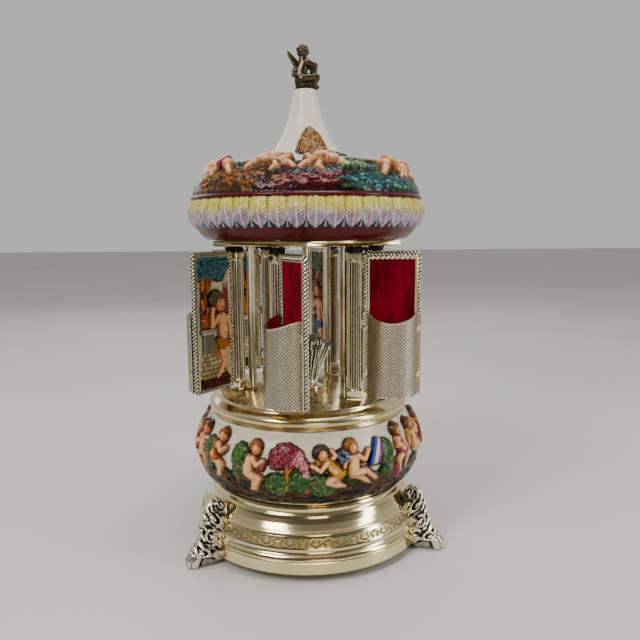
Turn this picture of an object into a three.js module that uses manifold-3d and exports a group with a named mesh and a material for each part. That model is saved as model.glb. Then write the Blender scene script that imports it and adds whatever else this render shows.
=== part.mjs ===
// Carousel music box: a turned base on three scroll feet, a bowl that hides the
// musical movement, and six hinged doors with half-round holders under a domed roof.
// Turning the roof turns a sun gear, whose six pinions swing all the doors together.
// Millimetres, +Z up, origin on the main axis where the feet stand.
import * as THREE from 'three';
import { mergeVertices } from 'three/addons/utils/BufferGeometryUtils.js';
import Module from 'manifold-3d';

const wasm = await Module();
wasm.setup();

const TAU = 2 * Math.PI;
const GAP = 0.3;               // clearance between pieces that touch
const ROUND = 32;              // segments round the large turned pieces
const DOORS = 6;

// Heights on the main axis
const SKIRT_Z = 5.8;           // lower edge of the base
const NECK_Z = 45.2;           // top of the base
const BOWL_TOP_Z = 90.2;
const DECK_Z = 102.4;          // polished deck, the stage that the columns stand on
const PLATE_Z = [201, 204.5];  // top plate that carries the upper column bearings
const PLATE_CORNER = 68;       // radius to the corners of the hexagonal top plate
const GEAR_Z = [206, 210];
const ROOF_Z = 205;            // lower edge of the roof
const SHOULDER_Z = 301.5;      // seat of the finial
const TOP_Z = 330;

// Columns, doors and tie rods
const PIVOT_R = 48;            // pivot circle of the six columns
const PIVOT_ANGLE = -112.3;    // first pivot, degrees
const OPEN_ANGLE = -64.8;      // direction of the first open door, pivot to free edge
const COLUMN_R = 5;
const COLUMN_Z = [102.7, 196.5];
const JOURNAL_R = 2.4;
const DOOR_X = [5.4, 42];      // hinge edge and free edge, from the pivot axis
const DOOR_Z = [106.5, 197.4];
const DOOR_HALF = 1.8;         // half the frame's thickness
const STILE = 4.7;             // width of the frame's uprights
const RAIL = 3.1;              // height of the frame's top and bottom rails
const ROD_R = 2.75;
const ROD_CIRCLE = 38.3;

// Half-round holder on each door
const POCKET_R = 15.4;
const POCKET_WALL = 0.8;
const POCKET_Z = [108, 160];
const POCKET_SCOOP = 5.4;      // how far the rim dips at the front
const POCKET_TAB = 2.6;        // flat tab beside the half round

// Door gearing
const MODULE = 1.5;
const SUN_TEETH = 48;
const PINION_TEETH = 16;

// Musical movement
const BARREL_R = 20;
const BARREL_Z = [48.2, 62];
const CROWN_R = 18;            // mean radius of the crown teeth
const CROWN_TEETH = 40;
const WHEEL_TEETH = 20;        // teeth on the cylinder's own wheel
const CYLINDER_R = 6.2;
const CYLINDER_X = [25, 47];
const ARBOR_R = 1.5;
const COMB_TEETH = 14;

// Feet
const FOOT_ANGLES = [-143, -23, 97];
const FOOT_REACH = 96;
const FOOT_WIDTH = 17;

const rad = (degrees) => degrees * Math.PI / 180;
const v2 = (x, y) => new THREE.Vector2(x, y);
const points = (pairs) => pairs.map(([x, y]) => v2(x, y));
const smooth = (pairs, steps) => new THREE.SplineCurve(points(pairs)).getPoints(steps);

const finish = {
  champagne: { color: 0xd9c79a, roughness: 0.2, metalness: 1 },
  antique: { color: 0xa08f5e, roughness: 0.35, metalness: 1 },
  bronze: { color: 0x4a4238, roughness: 0.45, metalness: 1 },
  porcelain: { color: 0xe9e2d2, roughness: 0.2, metalness: 0 },
  relief: { color: 0xa88a63, roughness: 0.25, metalness: 0 },
  velvet: { color: 0x7d0f26, roughness: 0.9, metalness: 0 },
  steel: { color: 0xb9bcc0, roughness: 0.3, metalness: 1 },
};

const group = new THREE.Group();

function add(name, geometry, look, parent = group) {
  const mesh = new THREE.Mesh(geometry, new THREE.MeshStandardMaterial(finish[look]));
  mesh.name = name;
  parent.add(mesh);
  return mesh;
}

// ---- geometry helpers -------------------------------------------------------

// Turns a closed outline of (radius, height) points about the main axis.
function turned(outline, segments = ROUND) {
  const closed = outline[0].x === 0 ? outline : [...outline, outline[0]];
  return new THREE.LatheGeometry(closed, segments).rotateX(Math.PI / 2);
}

// An extruded outline standing between two heights.
function slab(shape, [low, high], curveSegments = 12) {
  const options = { depth: high - low, bevelEnabled: false, curveSegments };
  return new THREE.ExtrudeGeometry(shape, options).translate(0, 0, low);
}

function rod(radius, [low, high], segments = 16) {
  return new THREE.CylinderGeometry(radius, radius, high - low, segments)
    .rotateX(Math.PI / 2).translate(0, 0, (low + high) / 2);
}

function box([x0, x1], [y0, y1], [z0, z1]) {
  return new THREE.BoxGeometry(x1 - x0, y1 - y0, z1 - z0)
    .translate((x0 + x1) / 2, (y0 + y1) / 2, (z0 + z1) / 2);
}

function ball([x, y, z], [rx, ry, rz], tilt = [0, 0, 0], detail = [8, 5]) {
  return new THREE.SphereGeometry(1, ...detail).scale(rx, ry, rz)
    .rotateX(rad(tilt[0])).rotateY(rad(tilt[1])).rotateZ(rad(tilt[2])).translate(x, y, z);
}

// A closed mesh as a solid that can be joined and cut.
function solid(geometry) {
  const bare = geometry.clone();
  bare.deleteAttribute('normal');
  bare.deleteAttribute('uv');
  const merged = mergeVertices(bare, 1e-4);
  return new wasm.Manifold(new wasm.Mesh({
    numProp: 3,
    vertProperties: new Float32Array(merged.attributes.position.array),
    triVerts: new Uint32Array(merged.index.array),
  }));
}

function geometryOf(manifold) {
  const mesh = manifold.getMesh();
  const geometry = new THREE.BufferGeometry();
  geometry.setAttribute('position', new THREE.BufferAttribute(mesh.vertProperties, 3));
  geometry.setIndex(new THREE.BufferAttribute(mesh.triVerts, 1));
  geometry.computeVertexNormals();
  return geometry;
}

const join = (...shapes) => geometryOf(shapes.map(solid).reduce((a, b) => a.add(b)));
const cut = (body, ...tools) => geometryOf(
  tools.map(solid).reduce((a, b) => a.subtract(b), solid(body)));

const onCircle = (geometry, radius, degrees) => geometry
  .translate(radius * Math.cos(rad(degrees)), radius * Math.sin(rad(degrees)), 0);

// A spur wheel's outline, with straight-sided teeth and a round bore. One tooth is centred on
// the angle `start`, or with `space` one gap is.
function wheelShape(teeth, module, bore, start = 0, space = false) {
  const pitch = module * teeth / 2;
  const root = pitch - 1.2 * module;
  const tip = pitch + 0.82 * module;
  const step = TAU / teeth;
  const outline = [];
  for (let i = 0; i < teeth; i += 1) {
    const centre = rad(start) + (i + (space ? 0.5 : 0)) * step;
    for (const [radius, part] of [[root, -0.29], [tip, -0.1], [tip, 0.1], [root, 0.29]]) {
      const angle = centre + part * step;
      outline.push(v2(radius * Math.cos(angle), radius * Math.sin(angle)));
    }
  }
  const shape = new THREE.Shape(outline);
  shape.holes.push(new THREE.Path().absarc(0, 0, bore, 0, TAU, true));
  return shape;
}

// ---- base, feet and bowl ----------------------------------------------------

const FLARE = [[78.9, 11.5], [77.6, 15], [76, 20.2], [72.6, 27.8], [69, 35.4], [66.6, 39]];
const SHELL = 2.2;             // wall of the spun base

function baseMoulding() {
  const outer = [...points([[78.9, SKIRT_Z]]), ...smooth(FLARE, 7),
    ...points([[65.2, 40.6], [66, 41.6], [65.2, 42.6], [64.2, 43.4], [64.6, NECK_Z]])];
  const inner = [[56, NECK_Z], [56, 43], [62, 41], [64.4, 37], [69.8, 26.6], [73.6, 18.4],
    [78.9 - SHELL, 11], [78.9 - SHELL, SKIRT_Z]];
  return turned([...outer, ...points(inner)]);
}

// Side view of a foot, outwards from the axis: it hugs the flare and stands on a flat toe.
function footShape() {
  const shape = new THREE.Shape();
  shape.moveTo(FOOT_REACH - 1, 0);
  shape.quadraticCurveTo(FOOT_REACH + 1, 5, FOOT_REACH - 3, 9);
  shape.quadraticCurveTo(88, 15, 87, 24);
  shape.quadraticCurveTo(86, 33, 79, 38.5);
  shape.quadraticCurveTo(73, 41, 70.2, 37.4);
  shape.lineTo(73.4, 28.6);
  shape.lineTo(77, 20.6);
  shape.lineTo(79.6, 12.4);
  shape.lineTo(79.6, 4);
  shape.quadraticCurveTo(81, 0.5, 85, 0);
  return shape;
}

function foot() {
  const options = { depth: FOOT_WIDTH - 5, bevelEnabled: true, bevelThickness: 2.5, bevelSize: 0.9,
    bevelOffset: -0.9, bevelSegments: 2, curveSegments: 4 };
  return new THREE.ExtrudeGeometry(footShape(), options)
    .translate(0, 0, 2.5 - FOOT_WIDTH / 2).rotateX(Math.PI / 2);
}

function bowl() {
  const wall = 3;
  const outer = smooth([[64.9, 45.6], [68.6, 47.6], [71.6, 50.6], [74, 55.6], [75.1, 61.5], [75.4, 68],
    [74.3, 73.6], [72.4, 78.8], [68.9, 85.6], [66.9, BOWL_TOP_Z]], 10);
  const inner = smooth([[66.9 - wall, BOWL_TOP_Z], [70.6, 76], [72.2, 66], [70.6, 56], [62, 49.4],
    [58, 48.6]], 6);
  return turned([v2(58, 45.6), ...outer, ...inner]);
}

function doorAngles() {
  return Array.from({ length: DOORS }, (_, i) => PIVOT_ANGLE + i * 360 / DOORS);
}

// The six bearing holes that the column journals turn in, between two heights.
function bearings(span) {
  return doorAngles().map((angle) => onCircle(rod(JOURNAL_R + GAP, span, 8), PIVOT_R, angle));
}

function deck() {
  const rim = smooth([[64.6, 91.2], [67.2, 92.6], [68, 95], [67, 97.6], [64, 99.2]], 6);
  const body = turned([v2(3.7, 98.9), v2(60, 98.9), v2(62.4, 96), v2(62.4, 90.5), v2(65.6, 90.5),
    ...rim, v2(62.4, 100.4), v2(61.7, DECK_Z), v2(3.7, DECK_Z)]);
  return cut(body, ...bearings([100, 104]));
}

function bottomCover() {
  return turned(points([[13, 9], [76.2, 9], [76.2, 10.4], [13, 10.4]]));
}

// ---- columns, rods and top plate --------------------------------------------

function topPlate() {
  const shape = new THREE.Shape(Array.from({ length: DOORS }, (_, i) => {
    const angle = rad(-90 + i * 360 / DOORS);
    return v2(PLATE_CORNER * Math.cos(angle), PLATE_CORNER * Math.sin(angle));
  }));
  shape.holes.push(new THREE.Path().absarc(0, 0, 3.7, 0, TAU, true));
  return cut(slab(shape, PLATE_Z), ...bearings([200, 206]));
}

function column() {
  const [low, high] = COLUMN_Z;
  const block = COLUMN_R + 0.1;
  return turned(points([[0, DECK_Z - 2], [JOURNAL_R, DECK_Z - 2], [JOURNAL_R, low], [block, low],
    [block, low + 6.8], [4.6, low + 7.2], [4.6, high - 4.4], [block, high - 4],
    [block, high], [3.4, high], [3.4, PLATE_Z[0] - GAP], [JOURNAL_R, PLATE_Z[0] - GAP],
    [JOURNAL_R, GEAR_Z[1] + 1.2], [0, GEAR_Z[1] + 1.2]]), 12);
}

function centreBouquet() {
  return turned([v2(3.7, DECK_Z + GAP), v2(10, DECK_Z + GAP), v2(10, 105),
    ...smooth([[5.6, 107], [6.4, 113], [12, 124], [17.6, 133], [17, 138], [11, 142]], 9),
    v2(3.7, 143)], 24);
}

// ---- doors ------------------------------------------------------------------
// A door is drawn with the pivot on Z, the free edge towards +X, the painted side towards +Y.

const DOOR_MIDDLE = (DOOR_X[0] + DOOR_X[1]) / 2;
const OPENING_X = [DOOR_X[0] + STILE, DOOR_X[1] - STILE];
const OPENING_Z = [DOOR_Z[0] + RAIL, DOOR_Z[1] - RAIL];
const within = ([low, high]) => [low + GAP, high - GAP];

function doorFrame() {
  const outer = box(DOOR_X, [-DOOR_HALF, DOOR_HALF], DOOR_Z);
  return cut(outer, box(OPENING_X, [-4, 4], OPENING_Z));
}

const doorPanel = () => box(within(OPENING_X), [-0.1, 1.5], within(OPENING_Z));
const doorLining = () => box(within(OPENING_X), [-1.4, -0.4], within(OPENING_Z));

// Half-round holder with side tabs and a floor. The rim dips towards the front.
function pocket() {
  const back = -DOOR_HALF - GAP;
  const inner = POCKET_R - POCKET_WALL;
  const steps = 10;
  const arc = (radius, turn) => Array.from({ length: steps + 1 }, (_, i) => {
    const angle = turn * Math.PI * i / steps - (turn > 0 ? Math.PI : 0);
    return v2(DOOR_MIDDLE + radius * Math.cos(angle), back + radius * Math.sin(angle));
  });
  const tab = (side, depth) => v2(DOOR_MIDDLE + side * (POCKET_R + POCKET_TAB), back - depth);
  const skin = new THREE.Shape([tab(-1, 0), tab(-1, POCKET_WALL),
    ...arc(POCKET_R, 1).slice(1, -1), tab(1, POCKET_WALL), tab(1, 0), ...arc(inner, -1)]);
  const wall = slab(skin, POCKET_Z);
  const place = wall.attributes.position;
  for (let i = 0; i < place.count; i += 1) {
    const forward = Math.max(0, back - place.getY(i)) / POCKET_R;
    const atTop = place.getZ(i) === POCKET_Z[1];
    if (atTop) place.setZ(i, POCKET_Z[1] - POCKET_SCOOP * forward ** 1.6);
  }
  const floor = slab(new THREE.Shape([...arc(inner + POCKET_WALL / 2, 1)]),
    [POCKET_Z[0], POCKET_Z[0] + POCKET_WALL]);
  return join(wall, floor);
}

// Open direction of the door on a given pivot, and the pinion tooth that faces the sun gear.
const openDirection = (angle) => OPEN_ANGLE + angle - PIVOT_ANGLE;
const pinionStart = (angle) => angle + 180 - openDirection(angle);

function addDoor(index, angle) {
  const door = new THREE.Group();
  door.position.set(PIVOT_R * Math.cos(rad(angle)), PIVOT_R * Math.sin(rad(angle)), 0);
  door.rotation.z = rad(openDirection(angle));
  group.add(door);
  const name = (piece) => `door_${index + 1}_${piece}`;
  add(name('column'), column(), 'champagne', door);
  add(name('frame'), doorFrame(), 'champagne', door);
  add(name('panel'), doorPanel(), 'relief', door);
  add(name('lining'), doorLining(), 'velvet', door);
  add(name('pocket'), pocket(), 'champagne', door);
  const wheel = wheelShape(PINION_TEETH, MODULE, JOURNAL_R + GAP, pinionStart(angle));
  add(name('pinion'), slab(wheel, GEAR_Z, 5), 'champagne', door);
}

// ---- roof -------------------------------------------------------------------

const CROWN_Z = 254.5;         // ceiling inside the roof

function roofShell() {
  const outer = [v2(66, ROOF_Z), ...smooth([[69, 206.8], [72, 210], [75.9, 215.2], [78.4, 221],
    [77.8, 226], [76, 231], [72.5, 239], [65, 247], [52, 252.5], [40, 255.5], [28.5, 258], [20.8, 263.5],
    [13.4, 277.6], [9.9, 289], [7.1, SHOULDER_Z]], 15)];
  const inner = [v2(3.7, SHOULDER_Z), v2(3.7, CROWN_Z), ...smooth([[24, CROWN_Z], [50, 248], [64, 241],
    [73, 229], [73.4, 221], [66, 212]], 6), v2(62.8, 211), v2(62.8, ROOF_Z)];
  return turned([...outer, ...inner]);
}

function spindle() {
  return turned(points([[0, 99.2], [3.2, 99.2], [3.2, CROWN_Z - 3], [15, CROWN_Z - 2.4],
    [15, CROWN_Z - GAP], [3.2, CROWN_Z - GAP], [3.2, SHOULDER_Z - 1], [0, SHOULDER_Z - 1]]), 24);
}

function sunGear() {
  const shape = wheelShape(SUN_TEETH, MODULE, 3.2 + GAP, PIVOT_ANGLE, true);
  for (let i = 0; i < DOORS; i += 1) {
    const angle = rad(i * 360 / DOORS);
    const [x, y] = [21 * Math.cos(angle), 21 * Math.sin(angle)];
    shape.holes.push(new THREE.Path().absarc(x, y, 8, 0, TAU, true));
  }
  return slab(shape, GEAR_Z, 6);
}

// Seated cherub on a round foot: hips, chest, head, drawn-up knees, arms and two wings.
function finial() {
  const seat = SHOULDER_Z + GAP;
  const seatDisc = turned(points([[0, seat], [6.2, seat], [6.2, seat + 1.5], [4, seat + 3.4],
    [0, seat + 3.4]]), 16);
  return join(
    seatDisc,
    ball([0.4, 0, 307.6], [4.4, 4, 4], [0, 0, 0]),
    ball([-0.6, 0, 313.6], [3.4, 3.1, 5.2], [0, 10, 0]),
    ball([1.6, -0.6, TOP_Z - 4.3], [3.9, 4, 4.25]),
    ball([0.7, -0.3, 319.8], [2.6, 2.6, 4]),
    ball([4, -1.9, 309], [1.9, 1.8, 4.6], [0, 42, 0]),
    ball([4, 1.9, 308.4], [1.9, 1.8, 4.6], [0, 42, 0]),
    ball([6.2, -1.9, 307.2], [1.5, 1.6, 4.4], [0, -14, 0]),
    ball([6, 1.9, 306.8], [1.5, 1.6, 4.2], [0, -14, 0]),
    ball([2.6, -3, 315], [1.4, 1.4, 4.6], [0, -38, 0]),
    ball([-0.8, 3.1, 314], [1.4, 1.4, 4.6], [0, 24, 0]),
    ball([-4, -1.7, 317.4], [4.6, 1.3, 3.6], [0, 24, 16]),
    ball([-3.8, 2, 317], [4.4, 1.3, 3.4], [0, 24, -20]),
  );
}

// ---- musical movement -------------------------------------------------------

const PITCH_PLANE = BARREL_Z[1] + 1;
const WHEEL_R = CROWN_R * WHEEL_TEETH / CROWN_TEETH;
const CYLINDER_Z = PITCH_PLANE + WHEEL_R;
const COMB_Y = CYLINDER_R + 1.2;

// A shape of revolution laid along +X at the height of the cylinder's arbor.
const lay = (geometry) => geometry.rotateY(Math.PI / 2).translate(0, 0, CYLINDER_Z);

function bedplate() {
  const disc = turned(points([[3, 45.5], [57, 45.5], [57, 47.5], [3, 47.5]]));
  const hole = (x) => lay(rod(ARBOR_R + GAP, x, 12));
  const near = box([21, 23], [-4, 4], [46.5, CYLINDER_Z + 4]);
  const far = box([50, 52], [-4, 4], [46.5, CYLINDER_Z + 4]);
  const combSeat = box([24, 48], [17, 28], [46.5, CYLINDER_Z - GAP]);
  return cut(join(disc, near, far, combSeat), hole([20, 24]), hole([49, 53]));
}

function comb() {
  const [first, last] = [CYLINDER_X[0] + 0.6, CYLINDER_X[1] - 0.6];
  const pitch = (last - first) / COMB_TEETH;
  const shape = new THREE.Shape();
  shape.moveTo(first - 1, 27);
  shape.lineTo(first - 1, 17.4);
  for (let i = 0; i < COMB_TEETH; i += 1) {
    const x = first + i * pitch;
    shape.lineTo(x + 0.2, 16 - 0.12 * i);
    shape.lineTo(x + 0.2, COMB_Y);
    shape.lineTo(x + pitch - 0.2, COMB_Y);
    shape.lineTo(x + pitch - 0.2, 16 - 0.12 * i);
  }
  shape.lineTo(last + 1, 17.4);
  shape.lineTo(last + 1, 27);
  return slab(shape, [CYLINDER_Z, CYLINDER_Z + 1]);
}

function springBarrel() {
  const [low, high] = BARREL_Z;
  const drum = turned(points([[3, low], [BARREL_R - 1, low], [BARREL_R, low + 1], [BARREL_R, high],
    [3, high]]));
  const crown = Array.from({ length: CROWN_TEETH }, (_, i) => box([CROWN_R - 1.4, CROWN_R + 1.4],
    [-0.62, 0.62], [high - 0.5, PITCH_PLANE + 0.7]).rotateZ(TAU * (i + 0.5) / CROWN_TEETH));
  return join(drum, ...crown);
}

function pinCylinder() {
  const module = 2 * WHEEL_R / WHEEL_TEETH;
  const wheel = lay(slab(wheelShape(WHEEL_TEETH, module, ARBOR_R - 0.4), [CROWN_R - 1.2, CROWN_R + 1.2]));
  const arbor = lay(rod(ARBOR_R, [CROWN_R - 2, 53.5], 12));
  const drum = lay(rod(CYLINDER_R, CYLINDER_X, 24));
  const first = CYLINDER_X[0] + 1.4;
  const pitch = (CYLINDER_X[1] - CYLINDER_X[0] - 2.8) / (COMB_TEETH - 1);
  const pins = Array.from({ length: 2 * COMB_TEETH }, (_, i) => {
    const x = first + (i % COMB_TEETH) * pitch;
    const pin = box([x - 0.25, x + 0.25], [-0.25, 0.25], [CYLINDER_R - 0.5, CYLINDER_R + 0.7]);
    return pin.rotateX(TAU * (i * 0.382 + 0.07)).translate(0, 0, CYLINDER_Z);
  });
  return join(drum, arbor, wheel, ...pins);
}

function windingKey() {
  const shaft = rod(2.5, [2.2, BARREL_Z[1] - 2], 16);
  const wings = new THREE.Shape();
  wings.moveTo(-12, 2.2);
  wings.lineTo(12, 2.2);
  wings.quadraticCurveTo(15, 5, 12, 8);
  wings.quadraticCurveTo(0, 4.6, -12, 8);
  wings.quadraticCurveTo(-15, 5, -12, 2.2);
  const options = { depth: 2, bevelEnabled: false, curveSegments: 5 };
  return join(shaft, new THREE.ExtrudeGeometry(wings, options).rotateX(Math.PI / 2).translate(0, 1, 0));
}

// ---- assembly ---------------------------------------------------------------

add('base_moulding', baseMoulding(), 'champagne');
FOOT_ANGLES.forEach((angle, i) => {
  add(`foot_${i + 1}`, foot(), 'antique').rotation.z = rad(angle);
});
add('bottom_cover', bottomCover(), 'champagne');
add('bowl', bowl(), 'porcelain');
add('deck', deck(), 'champagne');
doorAngles().forEach((angle, i) => {
  const span = [DECK_Z + GAP, PLATE_Z[0] - GAP];
  add(`tie_rod_${i + 1}`, onCircle(rod(ROD_R, span), ROD_CIRCLE, angle), 'champagne');
});
add('top_plate', topPlate(), 'champagne');
add('centre_bouquet', centreBouquet(), 'champagne');
add('movement_bedplate', bedplate(), 'steel');
add('comb', comb(), 'steel');
add('spring_barrel', springBarrel(), 'steel');
add('pin_cylinder', pinCylinder(), 'champagne');
add('winding_key', windingKey(), 'champagne');
add('spindle', spindle(), 'champagne');
add('sun_gear', sunGear(), 'champagne');
add('roof_shell', roofShell(), 'porcelain');
add('finial', finial(), 'bronze');
doorAngles().forEach((angle, i) => addDoor(i, angle));

export default group;
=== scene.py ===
import math

import bmesh
import bpy
import numpy as np
from mathutils import Matrix, Vector


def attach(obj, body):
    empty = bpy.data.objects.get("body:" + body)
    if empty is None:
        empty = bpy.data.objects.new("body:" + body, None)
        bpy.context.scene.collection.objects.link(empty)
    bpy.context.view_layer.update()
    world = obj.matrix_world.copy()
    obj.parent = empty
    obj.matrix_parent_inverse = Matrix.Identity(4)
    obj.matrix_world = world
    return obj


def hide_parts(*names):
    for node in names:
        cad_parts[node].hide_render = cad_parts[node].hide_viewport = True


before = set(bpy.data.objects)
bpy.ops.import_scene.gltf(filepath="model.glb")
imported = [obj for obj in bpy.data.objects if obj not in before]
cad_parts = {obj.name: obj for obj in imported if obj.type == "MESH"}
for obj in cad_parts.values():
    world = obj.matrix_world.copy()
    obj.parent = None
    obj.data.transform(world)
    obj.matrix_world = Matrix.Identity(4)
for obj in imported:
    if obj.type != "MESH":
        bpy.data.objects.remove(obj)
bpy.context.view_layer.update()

# ---- driving sizes, millimetres, in the frame of the CAD model --------------------------------
MM = 0.001
TAU = 2 * math.pi
rng = np.random.default_rng(7)

DOORS = 6
DOOR_PICTURES = (0, 1, 0, 2, 1, 0)
PIVOT_R = 48  # circle of the door columns
PIVOT_ANGLE = -112.3  # degrees, first column
OPEN_ANGLE = -64.8  # degrees, way that the first open door points
DOOR_X = (5.4, 42)  # hinge edge and free edge, from the column's axis
DOOR_Z = (106.5, 197.4)
FRAME_SIDE = 4  # width of a door's gilt frame beside and above its opening
FRAME_END = 3.1
PANEL_RISE = 0.5  # how far the panel's ground stands out from the middle of the door
RELIEF_LIMIT = 2.9

ROPE_TWIST = 6.9
ROPE_HALF = (1.4, 1.75)  # in the plane of the door and across it

POCKET_R = 15.4
POCKET_Z = (108, 160)
POCKET_SCOOP = 5.4
POCKET_TAB = 2.6
POCKET_BACK = -2.1
POCKET_WALL = 0.8
EMBOSS_PITCH = 2.1
RIVET_HEIGHTS = (13, 42)

DECK_Z = 102.4
PLATE_Z = (201, 204.5)
PLATE_CORNER = 68
PLATE_HOLLOW = 3.2
BORE_R = 3.7  # hole round the spindle
ROD_R = 2.75
ROD_CIRCLE = 38.3
END_GAP = 0.3

FLUTES = 16
FLUTE_DEPTH = 0.62
SHAFT_R = 4.75
SHAFT_Z = (109.7, 192.2)
COLUMN_TOP = 196.4

BOWL_R = 75  # radius at which the bowl's relief is drawn at full size
ROOF_R = 77
ROOF_TOP = 301.5
LEAVES = 44
LEAF_BAND = (213.2, 229.3)
FOOT_ANGLES = (-143, -23, 97)  # degrees
FOOT_LENGTH = 60
FINIAL_SEAT = 301.8


# ---- colour ------------------------------------------------------------------------------------
def srgb(text):
    """A six-digit hex colour as linear red, green, blue."""
    raw = np.array([int(text[i:i + 2], 16) / 255 for i in (0, 2, 4)])
    return np.where(raw <= 0.04045, raw / 12.92, ((raw + 0.055) / 1.055) ** 2.4)


def swatch(text):
    """Several hex colours, parted by spaces, as a list."""
    return [srgb(part) for part in text.split()]


IVORY = srgb("e6dfcf")
FLESH = srgb("f4c294")
FLESH_EDGE = srgb("9c4416")
MAROON = srgb("4d0512")
YELLOW = srgb("d2c565")
LILAC = srgb("a58ea6")
MAUVE = srgb("5e3f62")
EARTH = srgb("4a2a10")
EARTH_DARK = srgb("17110a")
LEAF = srgb("2a5324")
LEAF_DARK = srgb("10240f")
LEAF_LIGHT = srgb("7f9454")
TEAL = srgb("1d5f76")
TEAL_DARK = srgb("0c2a36")
TEAL_LIGHT = srgb("6fa3a8")
ROSE = srgb("a84a5c")
ROSE_DARK = srgb("7c2f3f")
ROSE_LIGHT = srgb("dd9da2")
ORANGE = srgb("b9600f")
GOLD = srgb("c08a1c")
GOLD_DARK = srgb("7a4d14")
UMBER = srgb("6b4420")
STONE = srgb("b9b3a0")
GRASS = srgb("2f5a2c")
CRIMSON = srgb("7a1f1c")
BRICK = srgb("8c3a3a")
BLUE = srgb("2c4c98")
NIGHT = srgb("18222e")
PALE_GOLD = srgb("ead8a6")
GOLD_SHADE = srgb("b89a62")

# Palettes run from the shaded ground to the lit leaves.
GREENS = [LEAF_DARK, LEAF, srgb("4f7a35"), LEAF_LIGHT, LEAF, srgb("1d4a3a")]
TEALS = [TEAL_DARK, TEAL, TEAL_LIGHT, TEAL]
OLIVES = swatch("18301c 3d5a2e 7d8a45 5a4a26")
RUSTS = [EARTH_DARK, srgb("6d2f1c"), ORANGE, UMBER]
BLUES = swatch("0b0f18 2c3c5c 7c88a4 1b2233")
DARK_ROSES = [srgb("32080f"), srgb("8c3c48"), ROSE, srgb("6e2230"), srgb("b9707a")]
PALE_ROSES = [srgb("6a1c28"), ROSE_LIGHT, srgb("e8c8c4"), ROSE]
GOLDS = [GOLD_DARK, GOLD, ORANGE, srgb("e0bd6a")]
CONE = swatch("1c1006 9a6a34 c79a5c 4e3014 7a5528")
BROWNS = [srgb("3a2410"), srgb("8a5a24"), srgb("b98a44"), UMBER]
SHRUBS = [LEAF_DARK, LEAF, srgb("8a7a4a"), srgb("5a6a34")]
HAIRS = swatch("6e4524 8e5830 332c22 7c5230")
DOOR_HAIRS = (srgb("54482f"), HAIRS[1], HAIRS[0])
DOOR_CLOTHS = (srgb("b27a2a"), ROSE, srgb("34508c"))
SKIN = (FLESH, FLESH_EDGE)
SOFT_EDGE = FLESH_EDGE * 0.35 + FLESH * 0.65


# ---- meshes ------------------------------------------------------------------------------------
def build(name, points, faces, material, layers=None, sharp=None, weld=False):
    """A mesh object from points in millimetres. layers holds per-point colours or numbers."""
    mesh = bpy.data.meshes.new(name)
    mesh.from_pydata((np.asarray(points) * MM).tolist(), [], as_lists(faces))
    for key, values in (layers or {}).items():
        values = np.asarray(values, float)
        if values.ndim == 2:
            layer = mesh.color_attributes.new(name=key, type="FLOAT_COLOR", domain="POINT")
            rgba = np.concatenate([values, np.ones((len(values), 1))], 1)
            layer.data.foreach_set("color", rgba.ravel())
        else:
            layer = mesh.attributes.new(name=key, type="FLOAT", domain="POINT")
            layer.data.foreach_set("value", values)
    mesh.materials.append(material)
    if weld:
        work = bmesh.new()
        work.from_mesh(mesh)
        bmesh.ops.remove_doubles(work, verts=work.verts, dist=1e-7)
        bmesh.ops.dissolve_degenerate(work, edges=work.edges, dist=1e-8)
        work.to_mesh(mesh)
        work.free()
    mesh.shade_smooth()
    if sharp:
        mesh.set_sharp_from_angle(angle=math.radians(sharp))
    return linked(name, mesh)


def linked(name, data):
    """A new object in the scene."""
    thing = bpy.data.objects.new(name, data)
    bpy.context.scene.collection.objects.link(thing)
    return thing


def circle(count):
    """Even angles right round a turn."""
    return np.arange(count) * TAU / count


def as_lists(faces):
    return faces.tolist() if isinstance(faces, np.ndarray) else faces


def grid_faces(rows, cols, wrap_rows=False, wrap_cols=False):
    """Quads over a grid of points, facing out where rows climb and columns run anticlockwise."""
    r = np.arange(rows if wrap_rows else rows - 1)
    c = np.arange(cols if wrap_cols else cols - 1)
    r, c = np.meshgrid(r, c, indexing="ij")
    r1, c1 = (r + 1) % rows, (c + 1) % cols
    quads = np.stack([r * cols + c, r * cols + c1, r1 * cols + c1, r1 * cols + c], -1)
    return quads.reshape(-1, 4)


def capped_tube(rows, cols):
    """Faces over rings of points, with a flat cap at each end."""
    faces = grid_faces(rows, cols, wrap_cols=True).tolist()
    return faces + [list(range(cols))[::-1], [(rows - 1) * cols + i for i in range(cols)]]


def spline(knots, steps):
    """Catmull-Rom curve through the knots, steps spans in all."""
    p = np.asarray(knots, float)
    ends = np.vstack([2 * p[0] - p[1], p, 2 * p[-1] - p[-2]])
    out = []
    for t in np.linspace(0, len(p) - 1, steps + 1):
        i = min(int(t), len(p) - 2)
        f = t - i
        a, b, c, d = ends[i:i + 4]
        out.append(0.5 * (2 * b + (c - a) * f + (2 * a - 5 * b + 4 * c - d) * f ** 2
                          + (3 * b - a - 3 * c + d) * f ** 3))
    return np.array(out)


def lengths_along(curve):
    """Distance along a curve from its first point to each point."""
    return np.concatenate([[0], np.cumsum(np.linalg.norm(np.diff(curve, axis=0), axis=1))])


def resample(curve, spacing):
    """The same open curve with even spacing along its length. Returns points and lengths."""
    curve = np.asarray(curve, float)
    run = lengths_along(curve)
    count = max(2, int(round(run[-1] / spacing)) + 1)
    s = np.linspace(0, run[-1], count)
    return np.stack([np.interp(s, run, curve[:, k]) for k in range(curve.shape[1])], 1), s


def revolve_points(profile, angles):
    """Rows of a profile's (r, z) points turned through the angles."""
    r, z = np.asarray(profile, float).T
    x = r[:, None] * np.cos(angles)
    y = r[:, None] * np.sin(angles)
    return np.stack([x, y, np.broadcast_to(z[:, None], x.shape)], -1)


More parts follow.
